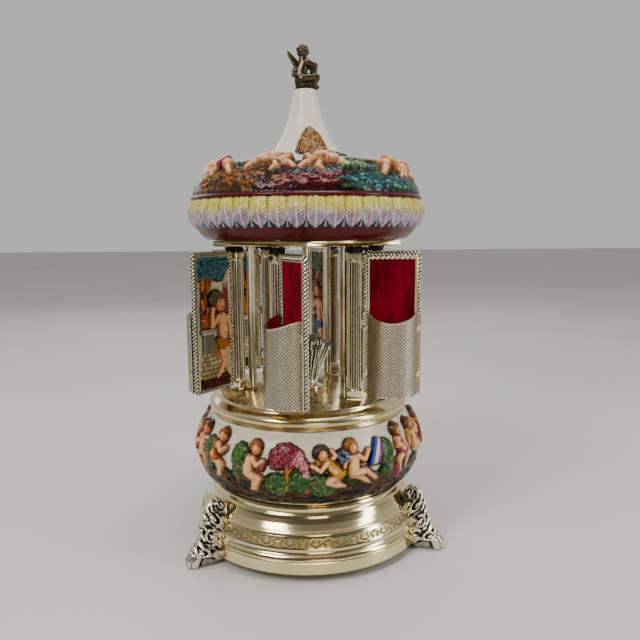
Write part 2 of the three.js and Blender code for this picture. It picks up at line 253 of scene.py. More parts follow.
def turned(name, profile, material, segments=192, sharp=30, layers=None, place=(0, 0)):
    """A turned piece: a closed ring, or a solid where the profile starts and ends on the axis."""
    profile = np.asarray(profile, float)
    solid = profile[0, 0] == 0
    points = revolve_points(profile, circle(segments)) + np.array([*place, 0])
    faces = grid_faces(len(profile), segments, wrap_rows=not solid, wrap_cols=True)
    return build(name, points.reshape(-1, 3), faces, material, layers, sharp, weld=solid)


def turned_part(profile, around, ring=True):
    """A turned ring or rod as points and faces, to be merged with others."""
    points = revolve_points(profile, circle(around)).reshape(-1, 3)
    faces = grid_faces(len(profile), around, wrap_rows=ring, wrap_cols=True)
    return points, faced_out(points, faces.tolist())


def rod_profile(radius, low, high, edge=0.3):
    """Half outline of a rod with bevelled ends."""
    return [(0, low), (radius - edge, low), (radius, low + edge), (radius, high - edge),
            (radius - edge, high), (0, high)]


def box_points(lows, highs, edge):
    """A box with bevelled edges: 24 points and 26 faces."""
    corners, faces = [], []
    index = {}
    for sx in (0, 1):
        for sy in (0, 1):
            for sz in (0, 1):
                side = (sx, sy, sz)
                for axis in range(3):
                    p = []
                    for k in range(3):
                        inset = 0 if k == axis else edge
                        p.append(lows[k] + inset if side[k] == 0 else highs[k] - inset)
                    index[side, axis] = len(corners)
                    corners.append(p)
    for axis in range(3):
        a, b = [(1, 2), (2, 0), (0, 1)][axis]
        for end in (0, 1):
            ring = []
            for sa, sb in ((0, 0), (1, 0), (1, 1), (0, 1)):
                side = [0, 0, 0]
                side[axis], side[a], side[b] = end, sa, sb
                ring.append(index[tuple(side), axis])
            faces.append(ring if end else ring[::-1])
    for axis in range(3):
        a, b = [(1, 2), (2, 0), (0, 1)][axis]
        for sa, sb in ((0, 0), (1, 0), (1, 1), (0, 1)):
            low, high = [0, 0, 0], [0, 0, 0]
            low[a] = high[a] = sa
            low[b] = high[b] = sb
            high[axis] = 1
            low, high = tuple(low), tuple(high)
            quad = [index[low, a], index[low, b], index[high, b], index[high, a]]
            faces.append(quad if sa == sb else quad[::-1])
    for side in [(x, y, z) for x in (0, 1) for y in (0, 1) for z in (0, 1)]:
        tri = [index[side, 0], index[side, 1], index[side, 2]]
        faces.append(tri if sum(side) % 2 else tri[::-1])
    return np.array(corners, float), faces


def merge(parts):
    """Several (points, faces) pairs as one."""
    points, faces, start = [], [], 0
    for p, f in parts:
        p = np.asarray(p, float)
        points.append(p)
        faces += [[i + start for i in face] for face in as_lists(f)]
        start += len(p)
    return np.vstack(points), faces


def faced_out(points, faces):
    """The faces of a closed mesh, turned over if they all face inwards."""
    p = np.asarray(points, float)
    volume = 0.0
    for face in faces:
        a = p[face[0]]
        for i in range(1, len(face) - 1):
            volume += float(np.dot(a, np.cross(p[face[i]], p[face[i + 1]])))
    return faces if volume > 0 else [list(face)[::-1] for face in faces]


def loop_of(rows, cols):
    """Indices right round the border of a grid."""
    bottom = [c for c in range(cols)]
    right = [r * cols + cols - 1 for r in range(1, rows)]
    top = [(rows - 1) * cols + c for c in range(cols - 2, -1, -1)]
    left = [r * cols for r in range(rows - 2, 0, -1)]
    return bottom + right + top + left


def slab(name, front, back_y, material, layers=None):
    """A sheet or panel: a grid of front points, with sides and a flat back at y = back_y."""
    rows, cols = front.shape[:2]
    points = front.reshape(-1, 3)
    border = loop_of(rows, cols)
    back = points[border].copy()
    back[:, 1] = back_y
    first = len(points)
    faces = grid_faces(rows, cols).tolist()
    count = len(border)
    for i in range(count):
        j = (i + 1) % count
        faces.append([border[i], first + i, first + j, border[j]])
    faces.append([first + i for i in range(count)][::-1])
    layered = {}
    for key, values in (layers or {}).items():
        flat = values.reshape(len(points), -1).squeeze()
        layered[key] = np.concatenate([flat, flat[border]])
    points = np.vstack([points, back])
    return build(name, points, faced_out(points, faces), material, layered, sharp=50)


def prism(outline, low, high):
    """A closed outline of (x, y) points as a solid between two heights."""
    n = len(outline)
    flat = np.asarray(outline, float)
    points = np.vstack([np.column_stack([flat, np.full(n, z)]) for z in (low, high)])
    faces = [[i, (i + 1) % n, n + (i + 1) % n, n + i] for i in range(n)]
    faces += [list(range(n))[::-1], list(range(n, 2 * n))]
    return points, faced_out(points, faces)


def half_ellipsoid(centre, axis, radius, height, around=20, rings=5):
    """A low domed head, such as a rivet's, standing out of a surface along an axis."""
    axis = np.asarray(axis, float)
    side = np.cross(axis, [0.3, 0.2, 0.9])
    side /= np.linalg.norm(side)
    up = np.cross(axis, side)
    points = []
    for r in range(rings):
        t = r / rings * math.pi / 2
        for k in range(around):
            a = TAU * k / around
            points.append(centre + radius * math.cos(t) * (math.cos(a) * side + math.sin(a) * up)
                          + height * math.sin(t) * axis)
    points.append(centre + height * axis)
    points.append(np.asarray(centre, float))
    faces = grid_faces(rings, around, wrap_cols=True).tolist()
    top = rings * around
    for k in range(around):
        n = (k + 1) % around
        faces.append([(rings - 1) * around + k, (rings - 1) * around + n, top])
        faces.append([n, k, top + 1])
    return np.array(points), faced_out(points, faces)


def ball(size, stretch=1.0, rings=4, around=8):
    """A small bead as points and faces, drawn out along z by stretch."""
    shape = []
    for ring in range(rings):
        tilt = math.pi * (ring + 0.5) / rings
        shape += [(math.sin(tilt) * math.cos(TAU * k / around), math.sin(tilt) * math.sin(TAU * k / around),
                   math.cos(tilt)) for k in range(around)]
    shape = np.array(shape + [(0, 0, 1), (0, 0, -1)]) * size * (1, 1, stretch)
    faces = grid_faces(rings, around, wrap_cols=True).tolist()
    last = rings * around
    faces += [[k, (k + 1) % around, last] for k in range(around)]
    faces += [[last - around + (k + 1) % around, last - around + k, last + 1] for k in range(around)]
    return shape, faced_out(shape, faces)


# ---- pieces on their bodies --------------------------------------------------------------------
def put(piece, body, slot, *nodes):
    """Rides a piece on its body and hides the CAD nodes it stands for. slot, the name of its finish, is not
    used.
    """
    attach(piece, body)
    if nodes:
        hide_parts(*nodes)
    return piece


def pivot(index):
    """Angle of a door's column round the main axis."""
    return math.radians(PIVOT_ANGLE + 360 * index / DOORS)


def door_matrix(index):
    """From a door's own frame, with its pivot on Z and free edge towards +X, to the row frame."""
    at = pivot(index)
    turn = math.radians(OPEN_ANGLE - PIVOT_ANGLE) + at
    place = Vector((PIVOT_R * math.cos(at) * MM, PIVOT_R * math.sin(at) * MM, 0))
    return Matrix.Translation(place) @ Matrix.Rotation(turn, 4, "Z")


def copy_of(piece, name, matrix):
    """The same mesh again under another name, carried to its place by a matrix."""
    mesh = piece.data.copy()
    mesh.transform(matrix)
    return linked(name, mesh)


def on_door(pattern, name, index, slot, *nodes):
    """A copy of a piece drawn in a door's own frame, riding on that door."""
    piece = copy_of(pattern, name, door_matrix(index))
    return put(piece, f"door_{index + 1}", slot, *[f"door_{index + 1}_{n}" for n in nodes])


# ---- materials ---------------------------------------------------------------------------------
class Look:
    """A Principled material being put together from nodes."""

    def __init__(self, name, color, metallic=0.0, roughness=0.5, **sockets):
        self.material = bpy.data.materials.new(name)
        self.material.use_nodes = True
        self.nodes = self.material.node_tree.nodes
        self.links = self.material.node_tree.links
        self.shader = self.nodes["Principled BSDF"]
        self.shader.inputs["Base Color"].default_value = (*color, 1)
        self.shader.inputs["Metallic"].default_value = metallic
        self.shader.inputs["Roughness"].default_value = roughness
        for key, value in sockets.items():
            self.shader.inputs[key.replace("_", " ")].default_value = value

    def node(self, kind, **values):
        """A new node. Each value goes to the input of that name, or else to the node's own setting."""
        made = self.nodes.new(kind)
        for key, value in values.items():
            if key in made.inputs:
                made.inputs[key].default_value = value
            else:
                setattr(made, key, value)
        return made

    def link(self, out, into):
        self.links.new(out, into)

    def place(self, stretch=(1, 1, 1)):
        """Object coordinates, stretched along each axis."""
        coords = self.node("ShaderNodeTexCoord")
        mapping = self.node("ShaderNodeMapping")
        mapping.inputs["Scale"].default_value = stretch
        self.link(coords.outputs["Object"], mapping.inputs["Vector"])
        return mapping.outputs["Vector"]

    def noise(self, scale, detail=3, where=None, rough=0.5):
        made = self.node("ShaderNodeTexNoise", Scale=scale, Detail=detail, Roughness=rough)
        self.link(where or self.place(), made.inputs["Vector"])
        return made.outputs["Fac"]

    def ramp(self, value, low, high, out_low=0.0, out_high=1.0):
        """The value's stretch from low to high, carried over to the range of the outputs."""
        made = self.node("ShaderNodeMapRange")
        made.inputs["From Min"].default_value = low
        made.inputs["From Max"].default_value = high
        made.inputs["To Min"].default_value = out_low
        made.inputs["To Max"].default_value = out_high
        self.link(value, made.inputs["Value"])
        return made.outputs["Result"]

    def mix(self, factor, first, second, blend="MIX"):
        """Two colours mixed. Each of the three may be a socket or a constant."""
        made = self.node("ShaderNodeMix", data_type="RGBA", blend_type=blend)
        for socket, value in (("Factor_Float", factor), ("A_Color", first), ("B_Color", second)):
            into = next(s for s in made.inputs if s.identifier == socket)
            if isinstance(value, bpy.types.NodeSocket):
                self.link(value, into)
            else:
                into.default_value = value if isinstance(value, float) else (*value, 1)
        return next(s for s in made.outputs if s.identifier == "Result_Color")

    def attribute(self, name):
        return self.node("ShaderNodeAttribute", attribute_name=name)

    def color(self, out):
        self.link(out, self.shader.inputs["Base Color"])

    def roughness(self, out):
        self.link(out, self.shader.inputs["Roughness"])

    def bump(self, height, strength, distance):
        made = self.node("ShaderNodeBump", Strength=strength, Distance=distance)
        self.link(height, made.inputs["Height"])
        self.link(made.outputs["Normal"], self.shader.inputs["Normal"])


def polished_metal(name, bright, tarnish, roughness, grain=(1, 1, 14)):
    """Polished plate with faint tarnish clouds, smears and turning marks."""
    look = Look(name, bright, 1.0, roughness)
    clouds = look.noise(42, 4)
    look.color(look.mix(look.ramp(clouds, 0.48, 0.78), bright, tarnish))
    smears = look.noise(160, 5, rough=0.65)
    look.roughness(look.ramp(smears, 0.3, 0.75, roughness * 0.7, roughness * 1.7))
    marks = look.noise(900, 2, look.place(grain))
    look.bump(marks, 0.08, 0.0001)
    return look.material


def patina_and_shade_metal(name, bright, dark, roughness, low=0.15, high=0.7, dull=0.4):
    """Cast or twisted metal: bright on the ridges and dark in the recesses, by the depth layer. The dark
    is patina in the hollows, and painted shade on some pieces.
    """
    look = Look(name, bright, 1.0, roughness)
    depth = look.attribute("depth").outputs["Fac"]
    cloud = look.noise(500, 4)
    # Brightness from depth and cloud; its dark end is patina, and painted shade on some pieces.
    brightness = look.node("ShaderNodeMath", operation="MULTIPLY_ADD")
    look.link(cloud, brightness.inputs[0])
    brightness.inputs[1].default_value = 0.5
    look.link(depth, brightness.inputs[2])
    shade = look.ramp(brightness.outputs[0], low + 0.25, high + 0.25)
    look.color(look.mix(shade, dark, bright))
    look.roughness(look.ramp(shade, 0.0, 1.0, dull, roughness))
    look.bump(look.noise(1400, 3), 0.25, 0.0001)
    return look.material


def glaze(name):
    """Hand-painted porcelain under clear glaze. The paint layer holds the colours."""
    look = Look(name, IVORY, 0.0, 0.3, Specular_IOR_Level=0.12, Coat_Weight=0.36,
                Coat_Roughness=0.06, Coat_IOR=1.4)
    paint = look.attribute("paint").outputs["Color"]
    streaks = look.noise(700, 4, rough=0.7)
    tone = look.mix(look.ramp(streaks, 0.25, 0.75), (0.72, 0.7, 0.68), (1.0, 1.0, 1.0))
    look.color(look.mix(0.8, paint, tone, "MULTIPLY"))
    look.roughness(look.ramp(look.noise(260, 3), 0.3, 0.7, 0.25, 0.45))
    look.bump(look.noise(420, 4), 0.3, 0.0002)
    return look.material


def velvet(name):
    """Deep pile, with the nap lying in soft upright streaks."""
    look = Look(name, srgb("5c0014"), 0.0, 0.8, Specular_IOR_Level=0.08, Sheen_Weight=0.05,
                Sheen_Roughness=0.4, Sheen_Tint=(0.8, 0.0, 0.08, 1))
    nap = look.noise(110, 4, look.place((1, 1, 0.35)))
    look.color(look.mix(look.ramp(nap, 0.35, 0.7), srgb("58000e"), srgb("8c0022")))
    look.bump(look.noise(5200, 2), 0.6, 0.0003)
    return look.material


def plain_machined(name, bright, dark, roughness):
    """Machined metal with cutter marks across it."""
    look = Look(name, bright, 1.0, roughness)
    look.color(look.mix(look.ramp(look.noise(90, 4), 0.4, 0.75), bright, dark))
    look.roughness(look.ramp(look.noise(700, 3), 0.3, 0.7, roughness * 0.8, roughness * 1.4))
    look.bump(look.noise(1800, 2, look.place((1, 9, 1))), 0.12, 0.0001)
    return look.material


SPUN = polished_metal("spun_brass", PALE_GOLD, GOLD_SHADE, 0.13)
SATIN = polished_metal("satin_brass", PALE_GOLD, GOLD_SHADE, 0.17, (0.1, 0.1, 14))
POLISHED = polished_metal("polished_brass", srgb("e6dcbe"), srgb("a89468"), 0.09, (1, 1, 0.3))
CAST = patina_and_shade_metal("cast_gilt", srgb("e9e1cc"), srgb("120c06"), 0.16)
ROPE = patina_and_shade_metal("rope_gilt", srgb("efe6cc"), srgb("050403"), 0.18, 0.5, 0.85)
EMBOSSED = patina_and_shade_metal("embossed_gilt", srgb("cbbfa8"), srgb("0e0a07"), 0.15, 0.25, 0.85)
FLUTED = patina_and_shade_metal("fluted_brass", srgb("e4d9bc"), srgb("1c160d"), 0.11, 0.1, 0.85)
ENGRAVED = patina_and_shade_metal("engraved_brass", PALE_GOLD, srgb("75602f"), 0.13, 0.1, 0.9, 0.7)
BRONZE = patina_and_shade_metal("antique_bronze", srgb("6a5f4c"), srgb("14110e"), 0.26, 0.15, 0.9)
PAINT = glaze("painted_porcelain")
VELVET = velvet("crimson_velvet")
STEEL = plain_machined("movement_steel", srgb("c9ccd0"), srgb("8b8f94"), 0.28)
MACHINED = plain_machined("movement_brass", srgb("d8bd7a"), srgb("96793c"), 0.25)
BLACKENED = plain_machined("blackened_steel", srgb("2a2826"), srgb("121110"), 0.35)


# ---- painted relief ----------------------------------------------------------------------------
def blur(field, reach):
    """Box blur over rows and columns."""
    for axis in (0, 1):
        total = np.zeros_like(field)
        for step in range(-reach, reach + 1):
            total += np.roll(field, step, axis)
        field = total / (2 * reach + 1)
    return field


RICHNESS = 1.18  # how far the fired colours stand from grey
RECESS_SHADE_TINT = np.array([0.72, 0.88, 1.0])  # the darkening in the recesses, partly painted shade, keeps more red than blue
STEEP = 0.45  # a step between neighbours that is the side of a raised form


class Relief:
    """A surface that is modelled and painted: height and colour over columns (x, along) and rows
    (y, up), all in millimetres. around is the length all the way round, where the columns close."""

    def __init__(self, x, y, ground, around=None):
        self.xs, self.ys, self.around = x, y, around
        self.height = np.zeros((len(y), len(x)))
        self.paint = np.tile(np.asarray(ground, float), (len(y), len(x), 1))
        self.at(0, 0)

    def at(self, x, y, sx=1.0, sy=1.0, lift=1.0):
        """Moves the drawing origin. sx and sy stretch what is drawn; a negative sx mirrors it."""
        self.origin, self.scale, self.lift = (x, y), (sx, sy), lift
        return self

    def window(self, x, y, reach):
        """The cells within reach of a point, and each one's distances from it."""
        (ox, oy), (sx, sy) = self.origin, self.scale
        off = self.xs - (ox + x * sx)
        if self.around:
            off = (off + self.around / 2) % self.around - self.around / 2
        up = self.ys - (oy + y * sy)
        cols = np.nonzero(np.abs(off) <= reach * abs(sx))[0]
        rows = np.nonzero(np.abs(up) <= reach * abs(sy))[0]
        dx, dy = np.meshgrid(off[cols] / sx, up[rows] / sy)
        return np.ix_(rows, cols), dx, dy

    def lay(self, where, rise, colour, edge, core):
        """Raises the surface wherever rise is higher, and paints it there."""
        old = self.height[where]
        wins = rise > old
        self.height[where] = np.where(wins, rise, old)
        tint = colour if edge is None else edge + (colour - edge) * core[..., None] ** 1.9
        self.paint[where] = np.where(wins[..., None], tint, self.paint[where])

    def dome(self, x, y, rx, ry, height, colour, turn=0.0, edge=None, base=0.0, power=0.5):
        """An oval mound. Its colour runs to edge at the rim, and base is its height there."""
        where, dx, dy = self.window(x, y, max(rx, ry))
        c, s = math.cos(turn), math.sin(turn)
        q = ((dx * c + dy * s) / rx) ** 2 + ((dy * c - dx * s) / ry) ** 2
        core = np.clip(1 - q, 0, 1) ** power
        self.lay(where, np.where(q < 1, (base + height * core) * self.lift, -1), colour, edge, core)

    def block(self, x, y, rx, ry, height, colour, edge, base=0.0):
        """A flat-topped stone with square corners."""
        where, dx, dy = self.window(x, y, max(rx, ry))
        q = (dx / rx) ** 6 + (dy / ry) ** 6
        core = np.clip(1 - q, 0, 1) ** 0.4
        self.lay(where, np.where(q < 1, (base + height * core) * self.lift, -1), colour, edge, core)

    def limb(self, a, b, ra, rb, height, colour, edge=None, base=0.0):
        """A rounded bar from a to b, whose half width goes from ra to rb."""
        (ax, ay), (bx, by) = a, b
        length = math.hypot(bx - ax, by - ay) + 1e-6
        mx, my = (ax + bx) / 2, (ay + by) / 2
        where, dx, dy = self.window(mx, my, length / 2 + max(ra, rb))
        ux, uy = (bx - ax) / length, (by - ay) / length
        along = np.clip((dx * ux + dy * uy) / length + 0.5, 0, 1)
        off = np.hypot(dx - (along - 0.5) * length * ux, dy - (along - 0.5) * length * uy)
        radius = ra + (rb - ra) * along
        core = np.sqrt(np.clip(1 - (off / radius) ** 2, 0, 1))
        rise = (base + height * core * radius / max(ra, rb)) * self.lift
        self.lay(where, np.where(off < radius, rise, -1), colour, edge, core)

    def mark(self, x, y, rx, ry, colour, strength=1.0):
        """Paint alone, with a soft edge."""
        where, dx, dy = self.window(x, y, max(rx, ry))
        q = np.clip(1 - (dx / rx) ** 2 - (dy / ry) ** 2, 0, 1)[..., None] * strength
        self.paint[where] = self.paint[where] * (1 - q) + colour * q

    def finished(self, recess_shade=0.75, reach=3, soften=1):
        """Glaze fills the sharp corners, and the recesses are painted darker: partly the painter's dark
        outlines, partly painted shade. The steep side of each raised form takes the form's own colour,
        darkened as painted shade."""
        tops = self.height.copy()
        for axis, step in ((0, 1), (0, -1), (1, 1), (1, -1)) * 2:
            near = np.roll(tops, step, axis)
            higher = near > tops + STEEP
            tops = np.where(higher, near - 0.2, tops)
            shaded = np.roll(self.paint, step, axis) * 0.7
            self.paint = np.where(higher[..., None], shaded, self.paint)
        height = blur(self.height, soften)
        # Darker paint in the recesses: partly painted shade, partly the painter's outlines.
        cavity = np.clip(blur(height, reach) - height, 0, 0.5) / 0.5
        grey = self.paint.mean(-1, keepdims=True)
        paint = np.clip(grey + (self.paint - grey) * RICHNESS, 0.002, 1)
        return height, paint * (1 - recess_shade * cavity[..., None] * RECESS_SHADE_TINT)


def polyline(art, joints, radii, height, colour, edge, base=0.0):
    """Limbs joined end to end."""
    for i in range(len(joints) - 1):
        art.limb(joints[i], joints[i + 1], radii[i], radii[i + 1], height, colour, edge, base)


# Postures, millimetres from the seat or the feet. Arms run shoulder, elbow, hand; legs run
# hip, knee, ankle. The far limb comes first.
POSTURES = {
    "seated": dict(head=(2.4, 22.4), chest=(-0.6, 15.6), hips=(-1.6, 8.2),
                   arms=[[(-2.6, 17), (-4.8, 12.5), (-3.2, 8.6)],
                         [(1.4, 16.6), (4.4, 12.6), (7.6, 15.6)]],
                   legs=[[(-2, 7), (3.4, 3.6), (0.4, -2.6)],
                         [(-0.4, 7.4), (5.8, 5.2), (3.4, -1.4)]]),
    "kneeling": dict(head=(-5, 19.4), chest=(-0.6, 14.4), hips=(4.4, 7.6),
                     arms=[[(0.4, 15.6), (3.8, 18), (1.2, 21.4)],
                           [(-2, 14.6), (-5.8, 10), (-11, 12.8)]],
                     legs=[[(5.8, 6.8), (2.6, 1.6), (8.4, 0)],
                           [(3.4, 6.4), (-1.8, 3.4), (3.8, 0.6)]]),
    "reaching": dict(head=(-0.8, 21.6), chest=(0.4, 14.6), hips=(-1.4, 7.8),
                     arms=[[(-2.2, 16), (-5.8, 13), (-6.6, 8.8)],
                           [(2.4, 16.2), (6.4, 13.4), (10.4, 18.4)]],
                     legs=[[(-2, 6.4), (4.4, 3.4), (9.2, -0.4)],
                           [(0, 7), (7.2, 7), (13.4, 1.8)]]),
    "hugging": dict(head=(-0.6, 22.2), chest=(0, 15), hips=(0.4, 8.2),
                    arms=[[(2.8, 16.8), (4.8, 12.4), (-1, 11)],
                          [(-3, 16.8), (-4.2, 12.4), (2.8, 13.6)]],
                    legs=[[(1.8, 7), (5.2, 4.4), (4, -2)],
                          [(-1.6, 7), (-5, 4.6), (-3.6, -2.2)]]),
}


def putto(art, posture, hair, sash=None, wings=None):
    """A chubby winged child in relief: legs, body, arms, then head and curls."""
    pose = POSTURES[posture]
    (hx, hy), chest, hips = pose["head"], pose["chest"], pose["hips"]
    if wings is not None:
        for k in range(4):
            tip = (chest[0] - 5.5 - 0.9 * k, chest[1] + 5.5 - 2.3 * k)
            art.limb((chest[0] - 1, chest[1] + 1), tip, 1.1, 0.8, 1.5, wings, GOLD_DARK, 0.4)
    for depth, leg in enumerate(pose["legs"]):
        polyline(art, leg, (2.7, 2.0, 1.15), 2.3, *SKIN, 0.1 + 0.7 * depth)
        way = 1 if leg[2][0] >= leg[1][0] - 1 else -1
        foot = (leg[2][0] + 1.3 * way, leg[2][1] - 0.6)
        art.limb(leg[2], foot, 1.1, 0.8, 1.2, *SKIN, 0.2 + 0.7 * depth)
    far, near = pose["arms"]
    polyline(art, far, (1.5, 1.2, 0.9), 1.4, *SKIN, 0.4)
    art.limb(chest, hips, 3.3, 3.5, 2.8, *SKIN, 0.3)
    belly = ((chest[0] + 2 * hips[0]) / 3, (chest[1] + 2 * hips[1]) / 3)
    art.dome(*belly, 3.0, 3.0, 1.2, FLESH, 0, FLESH_EDGE * 0.4 + FLESH * 0.6, 2.2)
    if sash is not None:
        fold = sash * 0.35
        waist = [(hips[0] + x, hips[1] + y) for x, y in ((-3.4, 1.6), (0, -1), (3.8, 0.8))]
        polyline(art, waist, (1.2, 1.7, 1.1), 1.2, sash, fold, 2.4)
        shoulder = (chest[0] - 2.6, chest[1] + 2.6)
        art.limb(shoulder, (hips[0] + 3, hips[1]), 0.8, 1, 0.8, sash, fold, 2.9)
    polyline(art, near, (1.7, 1.35, 1.0), 1.7, *SKIN, 1.9)
    art.dome(*near[2], 1.25, 1.15, 1.2, FLESH, 0, FLESH_EDGE, 2.0)
    head(art, hx, hy, hair)


def head(art, x, y, hair, turn=0.7):
    """A round head under curls. turn moves the face round towards +x."""
    art.dome(x - 0.3, y + 1.3, 4.0, 3.5, 2.2, hair, 0, hair * 0.45, 0.8)
    art.dome(x + turn, y - 0.5, 3.0, 3.6, 2.2, FLESH, 0, FLESH_EDGE, 1.6)
    art.dome(x + 0.4 * turn - 2.6, y - 0.6, 0.8, 1.0, 0.8, FLESH, 0, FLESH_EDGE, 1.8)
    for k in range(10):
        angle = math.radians(8 + 22 * k)
        cx, cy = x - 0.4 + 3.3 * math.cos(angle), y + 1.0 + 3.0 * math.sin(angle)
        tone = hair * (1.5 if k % 3 else 0.7)
        art.dome(cx, cy, 1.3, 0.9, 0.8, tone, angle, hair * 0.25, 2.3)
        inner_x, inner_y = cx * 0.55 + x * 0.45, cy * 0.55 + (y + 2.4) * 0.45
        art.dome(inner_x, inner_y, 1.1, 0.75, 0.7, hair * 1.3, angle + 1, hair * 0.2, 2.9)
    for k in (-1, 0, 1):
        lock = x + 0.5 * turn + 1.5 * k
        art.dome(lock, y + 2.6, 1.2, 0.85, 0.7, hair * 1.5, 0.4 * k, hair * 0.25, 3.2)
    face = x + 1.5 * turn
    for side in (-1, 1):
        art.mark(face + 1.6 * side, y - 1.4, 1.2, 1.1, srgb("d4674e"), 0.75)
        art.mark(face + 1.2 * side, y + 0.05, 0.7, 0.6, srgb("20120c"), 1.0)
        art.mark(face + 1.2 * side, y + 0.9, 0.9, 0.4, hair * 0.5, 0.8)
    art.dome(face + 0.1, y - 0.7, 0.6, 0.9, 0.5, FLESH, 0, FLESH_EDGE * 0.5 + FLESH * 0.5, 3.55)
    art.mark(face, y - 2.1, 1.0, 0.55, srgb("96281f"), 1.0)


def curls(art, hair, count):
    """Small curled locks over the crown and back of a head, lighter and darker by turns."""
    for k in range(count):
        angle = math.radians(15 + 225 * ((0.618 * k) % 1))
        out = (0.414 * k) % 1
        out = 0.35 + 0.6 * out if angle > 1.8 else 0.76 + 0.2 * out
        x, y = 3.9 * out * math.cos(angle) - 0.5, 3.5 * out * math.sin(angle) + 1.2
        tip = (x + 0.9 * math.cos(2.3 * k), y + 0.9 * math.sin(2.3 * k))
        tone = hair * (2.3, 1.1, 1.7)[k % 3]
        art.limb((x, y), tip, 0.3, 0.2, 0.5, tone, hair * 0.25, 3.0)


def stooping(art, hair, cloth):
    """A putto bent right over: a broad round back, with its knees and hands drawn in below."""
    head(art, -10.4, 7.6, hair, -0.6)
    polyline(art, [(-8, 0), (-13, -2.6), (-16.6, -6)], (3.4, 2.4, 1.3), 2.6, *SKIN, 0.3)
    polyline(art, [(-3, -2), (-5.4, -6.4), (-2.4, -8.8)], (2.2, 1.8, 1.3), 2.2, *SKIN, 0.5)
    polyline(art, [(8, 1), (12.4, -3.4), (16.6, -7.4)], (4.0, 2.8, 1.4), 3.2, *SKIN, 0.6)
    polyline(art, [(-8, 1.6), (0, 3.4), (8, 1.6)], (4.6, 6.0, 5.2), 5.2, *SKIN, 0.2)
    art.dome(7.4, 1.4, 5.8, 5.0, 5.0, FLESH, 0, FLESH_EDGE, 0.2)
    art.dome(-1.5, 3.6, 5.4, 3.2, 1.0, FLESH * 1.05, 0.1, FLESH * 0.5 + FLESH_EDGE * 0.5, 4.9)
    brushwork = (FLESH_EDGE, srgb("f6e2c6"), srgb("b8692f"))
    for k in range(22):
        x, y = rng.uniform(-10, 14), rng.uniform(-1.5, 6.5)
        art.mark(x, y, rng.uniform(1.2, 3.2), rng.uniform(0.5, 1.0), brushwork[k % 3], 0.75)
    if cloth is not None:
        sash = [(3.0, 8), (4.2, 2.6), (2.6, -3.4)]
        polyline(art, sash, (1.3, 1.8, 1.2), 1.2, cloth, cloth * 0.35, 4.8)
    for k in range(3):
        art.limb((-3 + 1.2 * k, 8), (-7 + 1.8 * k, 14 - 0.8 * k), 1.0, 0.5, 1.8, UMBER, EARTH_DARK, 2.4)


def foliage(art, x, y, rx, ry, tones, leaf=1.2, count=60, height=1.6, long=1.6):
    """A clump of small raised leaves over a low mound. tones run from shaded to lit."""
    art.dome(x, y, rx, ry, height * 0.7, tones[0], power=0.35)
    for _ in range(count):
        angle, reach = rng.uniform(0, TAU), math.sqrt(rng.uniform(0, 0.96))
        px, py = x + rx * reach * math.cos(angle), y + ry * reach * math.sin(angle)
        tone = tones[rng.integers(1, len(tones))] * rng.uniform(0.55, 1.05)
        size = leaf * rng.uniform(0.7, 1.3)
        base = height * 0.75 * (1 - reach ** 2) ** 0.35
        art.dome(px, py, size * long, size, height * 0.45, tone, rng.uniform(0, math.pi),
                 tones[0], base, 0.6)


def trunk(art, joints, radii, tone, shade, height=1.6):
    """Part of a tree: a bent bar close to the ground."""
    polyline(art, joints, radii, height, tone, shade, 0.3)


def grapes(art, x, y, count, spread=1.6, drop=7):
    """A hanging cluster of round berries, narrower towards its tip."""
    for k in range(count):
        fall = (k + 0.5) / count
        aside = rng.uniform(-1, 1) * spread * (1 - 0.6 * fall)
        art.dome(x + aside, y - drop * fall, 0.85, 0.85, 0.9, ROSE, 0, ROSE_DARK, 1.3)


def ground(art, low, high, tones, count, size):
    """Ragged strokes of earth between two heights, right round the relief."""
    for _ in range(count):
        x, y = rng.uniform(0, art.around), rng.uniform(low, high)
        tone = tones[rng.integers(len(tones))]
        long, thick = size[0] * rng.uniform(0.5, 1.4), size[1] * rng.uniform(0.5, 1.3)
        art.dome(x, y, long, thick, 0.9, tone, rng.uniform(-0.35, 0.35), tone * 0.4, 0.5, 0.6)


# ---- bowl --------------------------------------------------------------------------------------
BOWL_OUTLINE = [(64.9, 45.6), (68.6, 47.6), (71.6, 50.6), (74, 55.6), (75.1, 61.5), (75.4, 68),
                (74.3, 73.6), (72.4, 78.8), (68.9, 85.6), (66.9, 90.2)]
BOWL_INSIDE = [(64, 90.2), (69.4, 76), (71, 66), (69, 56), (61, 50), (58, 48.6), (58, 45.6)]


def surface_of(outline, spacing, columns):
    """Even rows up an outline with their outward normals, and even columns round it."""
    rows, lengths = resample(spline(outline, 400), spacing)
    slope = np.gradient(rows, axis=0)
    slope /= np.linalg.norm(slope, axis=1)[:, None]
    normals = np.stack([slope[:, 1], -slope[:, 0]], 1)
    return rows, lengths, normals, circle(columns)


def relief_body(name, rows, normals, angles, height, paint, inside, inside_paint):
    """A turned wall whose outer face carries a relief and whose inner face is plain."""
    r = rows[:, :1] + normals[:, :1] * height
    z = rows[:, 1:] + normals[:, 1:] * height
    outer = np.stack([r * np.cos(angles), r * np.sin(angles), z], -1)
    inner = revolve_points(inside, angles)
    points = np.concatenate([outer, inner])
    colours = np.concatenate([paint, np.tile(inside_paint, (len(inside), len(angles), 1))])
    faces = grid_faces(len(points), len(angles), wrap_rows=True, wrap_cols=True)
    return build(name, points.reshape(-1, 3), faces, PAINT, {"paint": colours.reshape(-1, 3)})


